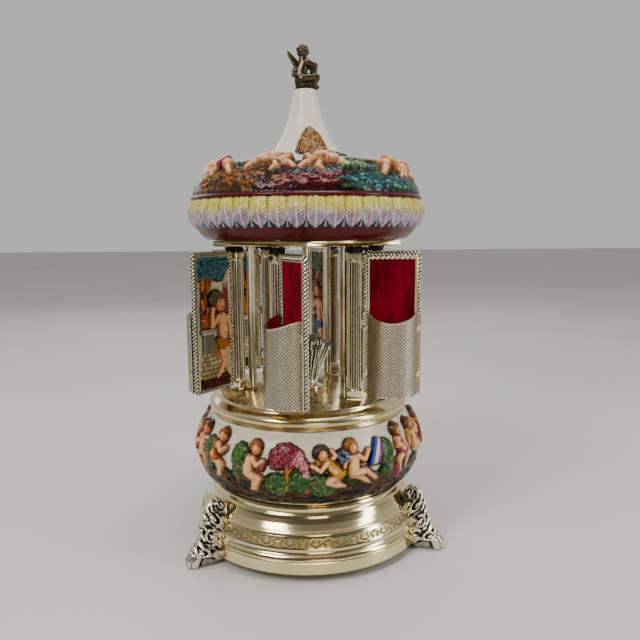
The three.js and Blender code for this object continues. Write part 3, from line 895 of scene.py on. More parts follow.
def bowl():
    """Children, bushes and trees in high relief on dark earth, right round the bowl."""
    rows, lengths, normals, angles = surface_of(BOWL_OUTLINE, 0.5, 960)
    up = lambda z: float(np.interp(z, rows[:, 1], lengths))
    art = Relief(angles * BOWL_R, lengths, srgb("ddd7c3"), TAU * BOWL_R)
    art.height += 0.2 * np.clip((lengths - up(87)) / 2, 0, 1)[:, None]
    earth = np.interp(lengths, [up(46), up(50), up(59), up(64)], [0, 1, 1, 0])
    art.paint[lengths < up(59)] = EARTH_DARK
    black, rust = srgb("0d0806"), srgb("6e3a12")
    grassy = [LEAF_DARK, LEAF, EARTH, LEAF_DARK, UMBER]
    soil = [EARTH, black, rust, EARTH_DARK, UMBER, LEAF_DARK, EARTH]
    ground(art, up(57), up(64), grassy, 700, (3.0, 0.8))
    ground(art, up(51), up(61), soil, 1300, (3.4, 0.75))
    ground(art, up(47), up(53), [black, LEAF_DARK, EARTH_DARK, black], 700, (3.8, 0.8))

    def place(degrees, z, mirror=1, size=1.0):
        return art.at((math.radians(degrees) % TAU) * BOWL_R, up(z), mirror * size, size, 1.15)

    bushes = ((-124, 75), (-104, 62), (-93, 64), (-84, 61), (-50, 75), (-20, 73), (16, 72), (39, 64),
              (76, 73), (84, 62), (116, 73), (139, 64), (161, 73), (-173, 63), (-147, 73))
    for degrees, z in bushes:
        place(degrees, z)
        if z > 70:
            trunk(art, [(0, -15), (0.6, -8), (0, 0)], (1.4, 1.0, 0.8), UMBER, EARTH_DARK)
            foliage(art, 0, -7, 5.4, 8, GREENS, 0.85, 130, 1.4, 1.9)
            foliage(art, 0, 0, 6, 7, GREENS, 0.8, 210, 2.2, 1.9)
        else:
            foliage(art, 0, -1, 7.6, 6, GREENS, 0.8, 210, 2.2, 1.9)
    bark = srgb("a8703c")
    for degrees in (-99.8, 72, 178):
        place(degrees, 77.2)
        trunk(art, [(-0.4, -19), (0.2, -12), (-0.2, -6)], (1.5, 1.2, 1.1), bark, UMBER, 2.1)
        trunk(art, [(0, -10), (3.6, -5), (6, -2)], (1.0, 0.8, 0.6), bark, UMBER, 1.8)
        foliage(art, -1.5, 0.2, 9.4, 7.2, DARK_ROSES, 0.8, 300, 2.6, 1.0)
        foliage(art, -6.4, -3.4, 4.6, 3.6, DARK_ROSES, 0.8, 80, 2.4, 1.0)
        for x, y, rx, ry in ((6.5, -1, 3.6, 4.6), (9.8, -5, 2.4, 3.2), (11, -9, 2.0, 3.0)):
            foliage(art, x, y, rx, ry, PALE_ROSES, 0.85, 70, 2.5, 1.0)
        grapes(art, 11.4, -10, 26, 2.2, 11)
        grapes(art, 16.4, -14, 16, 1.8, 5)
    sets = [(-155, "hugging", 1, 61, 0), (-139.5, "seated", 1, 61.5, 1), (-117.6, "seated", 1, 58.5, 1),
            (-80.2, "kneeling", 1, 59.6, 2), (-68.6, "reaching", 1, 60, 1), (-38.5, "hugging", 1, 63, 0),
            (-24, "reaching", 1, 63, 3), (-6, "kneeling", -1, 60, 1), (6, "seated", -1, 60, 0),
            (27, "hugging", 1, 60, 2), (49, "reaching", -1, 60, 1), (62, "kneeling", 1, 59, 3),
            (92, "seated", 1, 60, 0), (104, "hugging", -1, 61, 1), (128, "reaching", 1, 60, 2),
            (150, "kneeling", -1, 59, 1), (166, "seated", 1, 60, 3), (-164, "reaching", -1, 61, 0)]
    clothes = [None, ORANGE, None, GOLD, None, ROSE]
    for k, (degrees, posture, mirror, z, hair) in enumerate(sets):
        place(degrees, z, mirror)
        putto(art, posture, HAIRS[hair], clothes[k % 6], GOLD if k % 3 == 0 else None)
    for degrees, z, drop in ((-112, 72, 5), (-43, 66, 11), (-2, 74, 8), (33, 70, 9), (98, 72, 10),
                             (156, 70, 9), (-158, 68, 9)):
        place(degrees, z)
        grapes(art, 0, 2, 26, 2.1, drop)
    place(-73.8, 76.5)
    foliage(art, 0, 0, 3.8, 3.8, BLUES, 0.9, 44, 2.0)
    for degrees in (-57.5, 44, 134):
        place(degrees, 78)
        for k, tone in enumerate((BLUE, ROSE_LIGHT, IVORY, BLUE, ROSE)):
            top, bottom = (3.4 + 0.7 * k, 5.6 - 0.3 * k), (-4.2 + 1.5 * k, -8)
            art.limb(top, bottom, 0.9, 1.0, 1.3, tone, tone * 0.35, 1.8)
    height, paint = art.finished(0.85)
    blend = earth[:, None, None] * (height < 0.25)[..., None] * 0.6
    paint = paint * (1 - blend) + EARTH_DARK * blend
    piece = relief_body("bowl_relief", rows, normals, angles, height, paint, BOWL_INSIDE, IVORY)
    put(piece, "stand", "painted_porcelain", "bowl")


# ---- roof --------------------------------------------------------------------------------------
ROOF_OUTLINE = [(66, 205), (68.6, 206.8), (71.4, 210), (74.9, 215.2), (77.1, 221), (76.7, 226),
                (75.4, 231), (72.5, 239), (65, 247), (52, 252.5), (40, 255.5), (28.5, 258), (20.8, 263.5),
                (13.4, 277.6), (9.9, 289), (7.1, ROOF_TOP)]
ROOF_INSIDE = [(BORE_R, ROOF_TOP), (BORE_R, 254.5), (24, 254.5), (50, 248), (64, 241), (72.6, 229),
               (73, 221), (66, 212), (62.8, 211), (62.8, 205)]
MEADOW_TONES = {"ochre": [*swatch("8e5c24 5c3a18 a87c40"), EARTH_DARK, *swatch("4a4c2a 5c2a18")],
                "maroon": [MAROON, *swatch("2a0a0c 5c161c 3a1a14 241410")],
                "teal": [TEAL_DARK, LEAF_DARK, srgb("14302c"), GRASS, *swatch("1d6f78 3c2a1c")]}
MEADOW_REGIONS = ((-180, "teal"), (-160, "ochre"), (-112, "maroon"), (-68, "teal"), (-10, "ochre"),
                  (30, "maroon"), (70, "teal"), (125, "ochre"), (165, "teal"))


def smoothstep(low, high, value):
    """0 at low, 1 at high, with no corner at either end."""
    t = np.clip((value - low) / (high - low), 0, 1)
    return t * t * (3 - 2 * t)


def leaf_band(art, angles, lengths, low, high):
    """Upright pointed leaves side by side, yellow above and lilac below, with darts between."""
    rows = np.nonzero((lengths >= low) & (lengths <= high))[0]
    t = ((lengths[rows] - low) / (high - low))[:, None]
    position = angles * LEAVES / TAU
    uneven = blur(rng.uniform(-1, 1, (len(rows), len(angles))), 2) * 2.2
    each = rng.uniform(-1, 1, (4, LEAVES))[:, position.astype(int)]
    across = position % 1 - 0.5 + 0.012 * each[0] + 0.01 * uneven
    opening = np.clip(t / (0.44 + 0.05 * each[1]), 0, 1)
    half = 0.465 * np.sin(math.pi / 2 * opening) ** 0.6 + 0.012 * (t > 0.5) + 0.001
    u = np.clip(np.abs(across) / half, 0, 1.5)
    on_leaf = u < 1
    bulge = np.sqrt(np.clip(1 - u ** 2, 0, 1))
    veins = np.cos(TAU * (t * 9 - u * 1.5 + 0.2 * each[2] + 0.3 * uneven)) * (0.75 + 0.5 * uneven)
    rib = np.exp(-(across / 0.045) ** 2)
    rim = np.exp(-((u - 0.93) / 0.09) ** 2) * on_leaf
    crinkle = 0.16 * veins * (u > 0.12) * (u < 0.85) + 0.3 * uneven
    rise = 0.15 + 0.85 * bulge * (0.75 + 0.25 * np.sin(math.pi * t)) + 0.45 * rib + 0.25 * rim + crinkle
    gap = np.clip((0.5 - np.abs(across)) / (0.5 - half + 1e-3), 0, 1)
    dart = 0.05 + 0.6 * np.exp(-(gap / 0.3) ** 2) * (t < 0.5)
    art.height[rows] = np.where(on_leaf, rise, dart)
    warm = smoothstep(0.38, 0.76, t + 0.05 * each[3] + 0.05 * veins + 0.04 * uneven)[..., None]
    leaf = LILAC * (1 - warm) + YELLOW * warm
    dark = MAUVE * (1 - warm) + srgb("a09438") * warm
    between_veins = smoothstep(-0.1, -0.75, veins) * (u > 0.1) * (u < 0.88)
    crease = np.exp(-((u - 1.0) / 0.07) ** 2) * smoothstep(0.3, 0.5, t)
    beside = np.exp(-((np.abs(across) - 0.1) / 0.04) ** 2) * 0.5
    crease = crease + np.exp(-((u - 0.8) / 0.08) ** 2) * (1 - warm[..., 0]) * 0.6
    shade = (0.65 - 0.35 * warm[..., 0]) * between_veins + crease + beside + 0.6 * uneven
    shade = np.clip(shade, 0, 0.92)[..., None]
    leaf = leaf * (1 - shade) + dark * shade
    pale = srgb("efe6ea") * (1 - warm) + srgb("efe9b4") * warm
    light = 0.6 * rib + 0.8 * rim * (1 - warm[..., 0]) + 0.35 * (veins > 0.45) - 0.5 * uneven
    light = np.clip(light, 0, 0.9)[..., None]
    leaf = leaf * (1 - light) + pale * light
    between = NIGHT + (srgb("aeb8c6") - NIGHT) * np.exp(-(gap / 0.16) ** 2)[..., None]
    art.paint[rows] = np.where(on_leaf[..., None], leaf, between)


def meadow(art, radius_at, up, low, high, count):
    """Fine strokes of painted ground on the roof, whose colours change from region to region."""
    for _ in range(count):
        degrees, z = rng.uniform(-180, 180), rng.uniform(low, high)
        tones = MEADOW_TONES[[tint for start, tint in MEADOW_REGIONS if degrees >= start][-1]]
        art.at((math.radians(degrees) % TAU) * ROOF_R, up(z), ROOF_R / radius_at(z), 1, 1)
        tone = tones[rng.integers(len(tones))] * rng.uniform(0.45, 1.0)
        art.dome(0, 0, rng.uniform(1.0, 3.4), rng.uniform(0.4, 0.7), rng.uniform(0.1, 0.35), tone,
                 rng.uniform(-0.8, 0.8), tone * 0.35, rng.uniform(0.1, 0.5), 0.6)


def glints(art, tones, count, wide, tall):
    """Short light strokes scattered over a patch of painted ground."""
    for _ in range(count):
        x, y = rng.uniform(-wide, wide), rng.uniform(-tall, tall)
        tone = tones[rng.integers(len(tones))]
        start = (x - 2, y - rng.uniform(-0.6, 0.6))
        art.limb(start, (x + 1.6, y), 0.4, 0.25, 0.3, tone, tone * 0.5, 0.9)


def tuft(art, wide, tall, blades):
    """A fan of spiky grass."""
    tones = (LEAF, LEAF_LIGHT, LEAF_DARK, srgb("1f6a52"))
    for k in range(blades):
        lean = 2 * k / (blades - 1) - 1
        tip = (wide * lean, tall * (1 - 0.4 * lean ** 2))
        art.limb((0.5 * wide * lean, 0), tip, 0.7, 0.3, 1.0, tones[k % 4], LEAF_DARK, 1.3 + 0.2 * (k % 3))


def roof():
    """The dome: a leaf border, painted ground with stooping children, and trees up the neck."""
    rows, lengths, normals, angles = surface_of(ROOF_OUTLINE, 0.52, 22 * LEAVES)
    up = lambda z: float(np.interp(z, rows[:, 1], lengths))
    radius_at = lambda z: float(np.interp(z, rows[:, 1], rows[:, 0]))
    art = Relief(angles * ROOF_R, lengths, IVORY, TAU * ROOF_R)
    art.paint[lengths < up(LEAF_BAND[0])] = MAROON
    art.paint[(lengths > up(LEAF_BAND[1])) & (lengths < up(232.5))] = MAROON
    lip = np.exp(-((lengths - up(231)) / 1.2) ** 2) * 1.3
    foot = np.exp(-((lengths - up(212.6)) / 0.6) ** 2) * 0.3
    art.height += (lip + foot)[:, None]
    art.paint[(lengths > up(232.5)) & (lengths < up(249.5))] = EARTH_DARK
    meadow(art, radius_at, up, 233.6, 250.6, 7000)

    def place(degrees, z, mirror=1, size=1.0):
        wide = mirror * size * ROOF_R / radius_at(z)
        art.at((math.radians(degrees) % TAU) * ROOF_R, up(z), wide, size, 1.1)

    bushes = ((-150, 245, 8, 6, BROWNS, 110), (-137, 249.5, 9, 4, GREENS, 90),
              (-124, 250.5, 8, 4, BROWNS, 80), (-58, 251.5, 9, 4, GREENS, 110),
              (-46, 251.5, 8, 4, BROWNS, 90), (-20, 249, 10, 5, GREENS, 120),
              (0, 250, 10, 5, GREENS, 110), (20, 249, 9, 5, BROWNS, 110), (55, 250, 10, 5, GREENS, 120),
              (75, 250, 9, 5, GOLDS, 110), (112, 249, 10, 5, GREENS, 120),
              (150, 250, 10, 5, BROWNS, 110), (175, 250, 10, 5, GREENS, 110))
    for degrees, z, rx, ry, tones, count in bushes:
        place(degrees, z)
        foliage(art, 0, 0, rx, ry, tones, 1.0, count, 1.8)
    barks = swatch("7c5020 a0642a 54300f")
    for degrees in (-150, -139, -128, -117, 12, 24, 130, 142):
        place(degrees, 241)
        for k in range(9):
            x, y, bend = rng.uniform(-7, 7), rng.uniform(-4, 5), rng.uniform(1.2, 3.0)
            turns = [0.5 * step + k for step in range(6)]
            arc = [(x + 1.5 * bend * math.cos(a), y + 0.6 * bend * math.sin(a)) for a in turns]
            polyline(art, arc, [0.55] * 6, 0.6, barks[k % 3], barks[k % 3] * 0.3, 0.8)
    for degrees, z, tones in ((-84, 240, (BRICK, ROSE_LIGHT, CRIMSON, CRIMSON)),
                              (-97, 239, (CRIMSON, BRICK, srgb("c08a6a"))),
                              (50, 241, (ROSE, ROSE_LIGHT, srgb("8a2320")))):
        place(degrees, z)
        glints(art, [tone * 0.6 for tone in tones], 26, 10, 3.4)
    watery = (TEAL * 0.7, srgb("123c40"), TEAL_LIGHT * 0.8, srgb("1f5f66"), GRASS, LEAF_DARK)
    for degrees, z in ((-55, 241), (-40, 239), (-64, 238), (90, 241), (105, 240), (-172, 241)):
        place(degrees, z)
        glints(art, watery, 36, 11, 3.6)
    for degrees in (-69, -62, 84, 118, 172):
        place(degrees, 245.5)
        tuft(art, 6.5, 8, 15)
    for degrees, z, rx, ry, tones, count in ((-79, 263, 9.4, 13.6, CONE, 520),
                                             (70, 263, 8, 12, GREENS, 360),
                                             (118, 264, 8, 13, CONE, 460)):
        place(degrees, z)
        trunk(art, [(0.6, -ry - 2), (0, -ry + 3)], (1.3, 1), UMBER, EARTH_DARK)
        foliage(art, 0, 0, rx, ry, tones, 0.85, count, 2.4, 1.5)
        foliage(art, 9, -ry + 4.4, 9, 4.6, SHRUBS, 0.8, 150, 1.8)
    clothes = (None, None, srgb("d88a5a"), None, ROSE)
    children = ((-109, 249.2, -1, 0.82), (-80.5, 249, 1, 0.8), (-36, 247.6, -1, 0.85), (-14, 247, 1, 0.9),
                (26, 249, 1, 0.9), (68, 249, -1, 0.9), (104, 249, 1, 0.9), (140, 249, -1, 0.9),
                (-172, 248.5, 1, 0.9), (-143, 248, 1, 0.8))
    for k, (degrees, z, mirror, size) in enumerate(children):
        place(degrees, z, mirror, size)
        stooping(art, HAIRS[k % 4], clothes[k % 5])
    low, high = up(LEAF_BAND[0]), up(LEAF_BAND[1])
    leaf_band(art, angles, lengths, low, high)
    height, paint = art.finished(0.8)
    keep = (lengths >= low) & (lengths <= high)
    height[keep] = art.height[keep]
    piece = relief_body("roof_relief", rows, normals, angles, height, paint, ROOF_INSIDE, MAROON)
    put(piece, "roof", "painted_porcelain", "roof_shell")


# ---- doors -------------------------------------------------------------------------------------
# Drawn in a door's own frame: pivot on Z, free edge towards +X, painted side towards +Y.
DOOR_MIDDLE = (DOOR_X[0] + DOOR_X[1]) / 2
OPENING_X = (DOOR_X[0] + FRAME_SIDE, DOOR_X[1] - FRAME_SIDE)
OPENING_Z = (DOOR_Z[0] + FRAME_END, DOOR_Z[1] - FRAME_END)
OPENING_SIZE = (OPENING_X[1] - OPENING_X[0], OPENING_Z[1] - OPENING_Z[0])


def door_scene(kind):
    """A painted relief. x runs from the free edge towards the hinge, y up from the bottom."""
    width, height = OPENING_SIZE
    art = Relief(np.arange(0, width + 0.2, 0.3), np.arange(0, height + 0.2, 0.3), srgb("e6dac0"))
    sky = swatch("cdb48a f0e8d6 bdb4a4")
    for _ in range(60):
        art.mark(rng.uniform(0, width), rng.uniform(20, height), rng.uniform(3, 8), rng.uniform(3, 9),
                 sky[rng.integers(3)], 0.5)
    mirror = -1 if kind == 1 else 1
    across = lambda x: x if mirror == 1 else width - x
    crown = (TEALS, TEALS, OLIVES)[kind]
    bark = srgb("b86828") if kind != 2 else srgb("8a4a1c")
    rust = srgb("4a1c0a")
    art.at(across(0), 0, mirror, 1, 0.75)
    reeds = swatch("8a3c3c a85a4a 6d2a34")
    for k in range(8):
        foot, tip = (28.6 - 0.3 * k, 36), (27.6 - 0.62 * k, 70 - 2.4 * (k % 3))
        art.limb(foot, tip, 1.1, 0.25, 1.2, reeds[k % 3], reeds[k % 3] * 0.4, 0.2)
    trunk(art, [(5.8, 42), (5.0, 52), (5.4, 62), (4.4, 78)], (3.6, 2.9, 2.3, 1.6), bark, rust, 2.3)
    trunk(art, [(5.6, 60), (9.6, 66), (13.6, 73)], (1.9, 1.5, 1.1), bark, rust, 2.2)
    trunk(art, [(6, 58), (8.4, 68), (9, 76)], (1.3, 1.0, 0.7), bark, rust, 2.0)
    grain = (srgb("e08a3a"), rust, srgb("7a2a10"))
    for k in range(26):
        x, y = rng.uniform(3.2, 7.6), rng.uniform(42, 66)
        tip = (x + rng.uniform(-0.8, 0.8), y + rng.uniform(3, 7))
        art.limb((x, y), tip, 0.4, 0.25, 0.5, grain[k % 3], rust, 2.3)
    berries = (srgb("7c1420"), ROSE_LIGHT, srgb("a02a30"))
    for k in range(12):
        x, y = 4.4 + rng.uniform(-1.3, 1.3), 49 + rng.uniform(-4, 4)
        art.dome(x, y, 0.7, 0.7, 0.7, berries[k % 3], 0, rust, 2.6)
    foliage(art, 11, 78.5, 12.5, 7.6, crown, 0.8, 420, 2.6, 1.2)
    foliage(art, 19.5, 74.5, 6.0, 5.6, crown, 0.75, 130, 2.4, 1.2)
    foliage(art, 3, 75, 4.6, 5, crown, 0.75, 80, 2.4, 1.2)
    foliage(art, 24.5, 80, 5.4, 5.2, crown, 0.75, 110, 2.4, 1.2)
    if kind == 2:
        trunk(art, [(5, 64), (14, 46), (24, 22)], (2.2, 2.4, 2.8), ORANGE, UMBER, 2.6)
        foliage(art, 8, 24, 9, 8, crown, 1.0, 120, 2.2)
        foliage(art, 23, 60, 8, 10, RUSTS, 1.0, 130, 2.2)
    pedestal(art)
    wall(art)
    leaning_child(art, DOOR_CLOTHS[kind])
    art.at(across(16.4), 55.4, mirror * 1.6, 1.5, 1.0)
    head(art, 0, 0, DOOR_HAIRS[kind], 1.5)
    curls(art, DOOR_HAIRS[kind], 60)
    art.at(across(0), 0, mirror, 1, 0.75)
    earth = swatch("4a1814 6d2c20 241008 3a1410")
    for _ in range(150):
        x = rng.uniform(0, width)
        y = rng.uniform(0, 5.5 + 0.06 * x)
        tone = earth[rng.integers(4)]
        long, thick = rng.uniform(1.2, 3.4), rng.uniform(0.6, 1.3)
        art.dome(x, y, long, thick, 1.0, tone, rng.uniform(-0.2, 0.6), tone * 0.3, 0.6, 0.6)
    return art.finished(0.85, 3)


def pedestal(art):
    """A short fluted pillar with moulded ends."""
    shadow = srgb("1d1a15")
    for k in range(6):
        x = 4.6 + 8.0 * k / 5
        art.limb((x, 23.5), (x, 35.4), 0.75, 0.7, 1.6, srgb("9a9588"), shadow, 0.8)
    for y, half, tone in ((37.8, 5.9, STONE), (36.2, 5.2, srgb("e2dcc8"))):
        art.limb((8.6 - half, y), (8.6 + half, y), 0.95, 0.95, 1.6, tone, shadow, 1.8)


def wall(art):
    """Courses of rough stone bricks, narrower towards the top."""
    mortar = srgb("2a1c0e")
    stones = swatch("c2b48c ab9a6e d6cba4")
    for course in range(6):
        y = 7.6 + 2.9 * course
        left, right = 3.0 + 0.45 * course, 17.6 - 0.35 * course
        x = left - (1.9 if course % 2 else 0)
        while x < right:
            long = rng.uniform(3.1, 4.3)
            art.block(x + long / 2, y, long / 2, 1.4, 0.9, stones[rng.integers(3)], mortar, 0.5)
            x += long


def leaning_child(art, cloth):
    """A standing putto with crossed ankles, one elbow on the pillar."""
    drape = (cloth, cloth * 0.25)
    polyline(art, [(15.4, 30), (14.6, 24), (16.6, 18)], (1.8, 2.2, 1.0), 1.2, *drape, 0.9)
    polyline(art, [(20, 28.5), (21.8, 17.5), (26.8, 7.6)], (3.5, 2.5, 1.4), 2.4, *SKIN, 0.6)
    art.limb((26.8, 7.2), (28.4, 6.2), 1.2, 0.9, 1.4, *SKIN, 0.7)
    polyline(art, [(24.4, 28.5), (23.4, 17.5), (17.6, 8.4)], (3.7, 2.6, 1.45), 2.6, *SKIN, 1.2)
    art.limb((17.6, 7.8), (15.6, 6.6), 1.3, 0.9, 1.6, *SKIN, 1.2)
    art.limb((20.8, 45), (22.2, 33), 4.6, 4.3, 3.2, *SKIN, 0.6)
    for x, y, rx, ry, rise in ((19.2, 44.6, 2.8, 2.6, 1.0), (23.6, 44.2, 2.7, 2.6, 1.0),
                               (21.8, 37.2, 3.6, 4.0, 1.2)):
        art.dome(x, y, rx, ry, rise, FLESH * 1.04, 0, SOFT_EDGE, 3.0)
    # A lighter patch on the round of the belly: a painted highlight.
    art.mark(20.8, 37.4, 1.1, 2.0, FLESH * 1.25, 0.7)
    art.mark(22, 35.2, 0.6, 0.7, FLESH_EDGE, 0.9)
    for x in (18.8, 23.8):
        art.mark(x, 44, 0.6, 0.5, srgb("b8503a"), 0.8)
    polyline(art, [(25.6, 45.2), (27.4, 38.8), (27.8, 32)], (2.0, 1.7, 1.2), 1.8, *SKIN, 1.8)
    polyline(art, [(16.8, 46), (11, 40.6), (11.8, 50)], (2.3, 2.0, 1.4), 2.4, *SKIN, 2.0)
    art.dome(12.4, 51.6, 1.9, 2.0, 1.8, FLESH, 0, FLESH_EDGE, 2.2)
    for k in range(4):
        art.limb((16.4, 31.6 - 1.5 * k), (21.5, 30 - 1.5 * k), 0.9, 1.1, 1.2, *drape, 3.0)
        art.limb((21.5, 30 - 1.5 * k), (26.6, 31 - 1.2 * k), 1.1, 0.9, 1.2, *drape, 3.0)
    art.dome(25.2, 31, 1.5, 1.4, 1.2, srgb("7c1c1a"), 0, cloth * 0.2, 3.6)
    art.dome(25.4, 31.2, 0.6, 0.6, 0.6, IVORY, 0, cloth, 4.6)


def door_panel(kind):
    """A painted relief panel, drawn in a door's own frame."""
    height, paint = door_scene(kind)
    rows, cols = height.shape
    gx, gz = np.meshgrid(np.linspace(*OPENING_X[::-1], cols), np.linspace(*OPENING_Z, rows))
    front = np.stack([gx, PANEL_RISE + np.clip(height, 0, RELIEF_LIMIT), gz], -1)
    return slab(f"panel_pattern_{kind}", front, -0.1, PAINT, {"paint": paint})


def rounded_rectangle(x, z, radius, spacing):
    """Points, outward directions and lengths right round a rectangle in the XZ plane."""
    out, normals = [], []
    corners = [(x[1] - radius, z[0] + radius, -90), (x[1] - radius, z[1] - radius, 0),
               (x[0] + radius, z[1] - radius, 90), (x[0] + radius, z[0] + radius, 180)]
    for cx, cz, start in corners:
        for k in range(7):
            a = math.radians(start + 15 * k)
            out.append((cx + radius * math.cos(a), cz + radius * math.sin(a)))
            normals.append((math.cos(a), math.sin(a)))
    out.append(out[0])
    normals.append(normals[0])
    joined = np.hstack([np.array(out), np.array(normals)])
    run = lengths_along(joined[:, :2])
    count = int(run[-1] / spacing)
    s = np.arange(count) * run[-1] / count
    data = np.stack([np.interp(s, run, joined[:, k]) for k in range(4)], 1)
    return data[:, :2], data[:, 2:] / np.linalg.norm(data[:, 2:], axis=1)[:, None], s, run[-1]


def rope_edging(name):
    """Three strands twisted together and bent round the door's edge."""
    inset = ROPE_HALF[0]
    sides, ends = [(low + inset, high - inset) for low, high in (DOOR_X, DOOR_Z)]
    line, normals, s, total = rounded_rectangle(sides, ends, 1.3, 0.3)
    twists = round(total / ROPE_TWIST)
    around = 24
    angles = circle(around)
    strand = 0.5
    reach = np.zeros((len(s), around))
    for k in range(3):
        off = angles[None, :] - (TAU * twists * s[:, None] / total + TAU * k / 3)
        side = np.abs(np.sin(off)) * 0.5
        hit = (np.cos(off) > 0) & (side < strand)
        edge = 0.5 * np.cos(off) + np.sqrt(np.clip(strand ** 2 - side ** 2, 0, 1))
        reach = np.maximum(reach, np.where(hit, edge, 0))
    reach = np.maximum(reach, 0.55)
    points = np.zeros((len(s), around, 3))
    across = reach * np.cos(angles) * ROPE_HALF[0]
    points[..., 0] = line[:, :1] + normals[:, :1] * across
    points[..., 2] = line[:, 1:] + normals[:, 1:] * across
    points[..., 1] = reach * np.sin(angles) * ROPE_HALF[1]
    faces = grid_faces(len(s), around, wrap_rows=True, wrap_cols=True).tolist()
    flat = points.reshape(-1, 3)
    # The grooves between the strands are painted dark: painted shade.
    depth = np.clip((reach - 0.6) / 0.4, 0, 1).ravel()
    return build(name, flat, faced_out(flat, faces), ROPE, {"depth": depth})


def mitred_ring(profile, x, z):
    """A moulding carried round a rectangle. profile holds (distance in from the edge, y)."""
    points = []
    for inset, y in profile:
        x0, x1, z0, z1 = x[0] + inset, x[1] - inset, z[0] + inset, z[1] - inset
        points += [(x0, y, z0), (x1, y, z0), (x1, y, z1), (x0, y, z1)]
    faces = grid_faces(len(profile), 4, wrap_rows=True, wrap_cols=True).tolist()
    return np.array(points), faced_out(points, faces)


def door_frame(name):
    """The flat gilt frame inside the rope, stepped down to the panel and to the velvet."""
    half = [(1.6, 0.5), (2.95, 0.6), (3.2, 1.25), (3.5, 1.4), (3.8, 1.35), (4.1, 1.2), (4.35, 0.9),
            (4.4, 0.2)]
    back = [(inset, -y) for inset, y in reversed(half)]
    frame_mesh = mitred_ring(half + back, DOOR_X, DOOR_Z)
    scallops = []
    for x in np.linspace(OPENING_X[0] + 2, OPENING_X[1] - 2, 9):
        scallops.append(half_ellipsoid((x, -0.9, OPENING_Z[1] - 0.4), (0, -1, 0), 1.5, 0.4, 14, 4))
    points, faces = merge([frame_mesh] + scallops)
    return build(name, points, faces, POLISHED, sharp=35)


def velvet_lining(name):
    """A velvet sheet stretched over the back of the painted panel."""
    x = np.linspace(*OPENING_X[::-1], 50)
    gx, gz = np.meshgrid(x[::-1], np.linspace(*OPENING_Z, 140))
    u = (gx - OPENING_X[0]) / OPENING_SIZE[0]
    v = (gz - OPENING_Z[0]) / OPENING_SIZE[1]
    crown = 0.35 * (1 - (2 * u - 1) ** 4) * (1 - (2 * v - 1) ** 8)
    ripple = 0.05 * np.sin(gx * 1.1 + 0.5 * np.sin(gz * 0.14)) * np.sin(gz * 0.09 + 0.7)
    front = np.stack([gx, -0.75 - crown - ripple, gz], -1)
    return slab(name, front, -0.4, VELVET)


def pocket_path(radius, tab_depth, columns):
    """(x, y) points across a holder: a tab, the half round and the other tab."""
    tab_points = 9
    first = math.asin(tab_depth / radius) if tab_depth else 0.0
    arc = np.linspace(math.pi + first, TAU - first, columns - 2 * tab_points)
    round_part = np.stack([radius * np.cos(arc), radius * np.sin(arc)], 1)
    tab_x = np.linspace(POCKET_R + POCKET_TAB, radius * math.cos(first) + 0.02, tab_points)
    left = np.stack([-tab_x, np.full(tab_points, -tab_depth)], 1)
    right = np.stack([tab_x[::-1], np.full(tab_points, -tab_depth)], 1)
    return np.vstack([left, round_part, right]) + np.array([DOOR_MIDDLE, POCKET_BACK])


def half_round_holder(name):
    """A holder of embossed gilt sheet: tabs, scooped rim, floor, all over fine diamonds."""
    columns, levels = 190, 182
    outer = pocket_path(POCKET_R, POCKET_WALL, columns)
    inner = pocket_path(POCKET_R - POCKET_WALL, 0.0, columns)
    run = lengths_along(outer)
    forward = np.clip(POCKET_BACK - outer[:, 1], 0, None) / POCKET_R
    rim = POCKET_Z[1] - POCKET_SCOOP * forward ** 1.6
    t = np.linspace(0, 1, levels)[:, None]
    z = POCKET_Z[0] + (rim - POCKET_Z[0]) * t
    u, v = run / EMBOSS_PITCH, (z - POCKET_Z[0]) / EMBOSS_PITCH
    dimple = np.zeros_like(u * v)
    for shift in (0, 0.5):
        du, dv = (u + shift) % 1 - 0.5, (v + shift) % 1 - 0.5
        dimple = np.maximum(dimple, np.clip(1.5 - np.hypot(du / 1.25, dv / 0.85) / 0.2, 0, 1))
    quiet = np.clip((rim - z - 0.6) / 0.5, 0, 1) * np.clip((z - POCKET_Z[0] - 0.6) / 0.5, 0, 1)
    quiet = quiet * np.clip((run - 0.5) / 0.4, 0, 1) * np.clip((run[-1] - run - 0.5) / 0.4, 0, 1)
    pattern = 1 - dimple * quiet
    tangent = np.gradient(outer, axis=0)
    tangent /= np.linalg.norm(tangent, axis=1)[:, None]
    normal = np.stack([tangent[:, 1], -tangent[:, 0]], 1)
    lift = 0.3 * pattern - 0.22 + 0.12 * (1 - quiet)
    front = np.zeros((levels, columns, 3))
    front[..., 0] = outer[:, 0] + normal[:, 0] * lift
    front[..., 1] = outer[:, 1] + normal[:, 1] * lift
    front[..., 2] = z
    rolled = np.column_stack([(outer + inner) / 2, rim + 0.35])
    behind = [np.column_stack([inner, POCKET_Z[0] + (rim - POCKET_Z[0]) * k]) for k in (1, 0.66, 0.33, 0)]
    points = np.concatenate([front, rolled[None], np.array(behind)])
    rows = len(points)
    faces = grid_faces(rows, columns, wrap_rows=True).tolist()
    for c in (0, columns - 1):
        faces.append([r * columns + c for r in range(rows)][:: 1 if c == 0 else -1])
    flat = points.reshape(-1, 3)
    depth = np.concatenate([(0.05 + 0.9 * pattern).ravel(), np.full((rows - levels) * columns, 0.75)])
    reach = POCKET_R - 0.4
    half = [(DOOR_MIDDLE + reach * math.cos(a), POCKET_BACK + reach * math.sin(a))
            for a in np.linspace(math.pi, TAU, 40)]
    bottom = prism(half, POCKET_Z[0] + 0.1, POCKET_Z[0] + POCKET_WALL)
    points, faces = merge([(flat, faced_out(flat, faces)), bottom])
    depth = np.concatenate([depth, np.full(len(bottom[0]), 0.6)])
    return build(name, points, faces, EMBOSSED, {"depth": depth}, sharp=55)


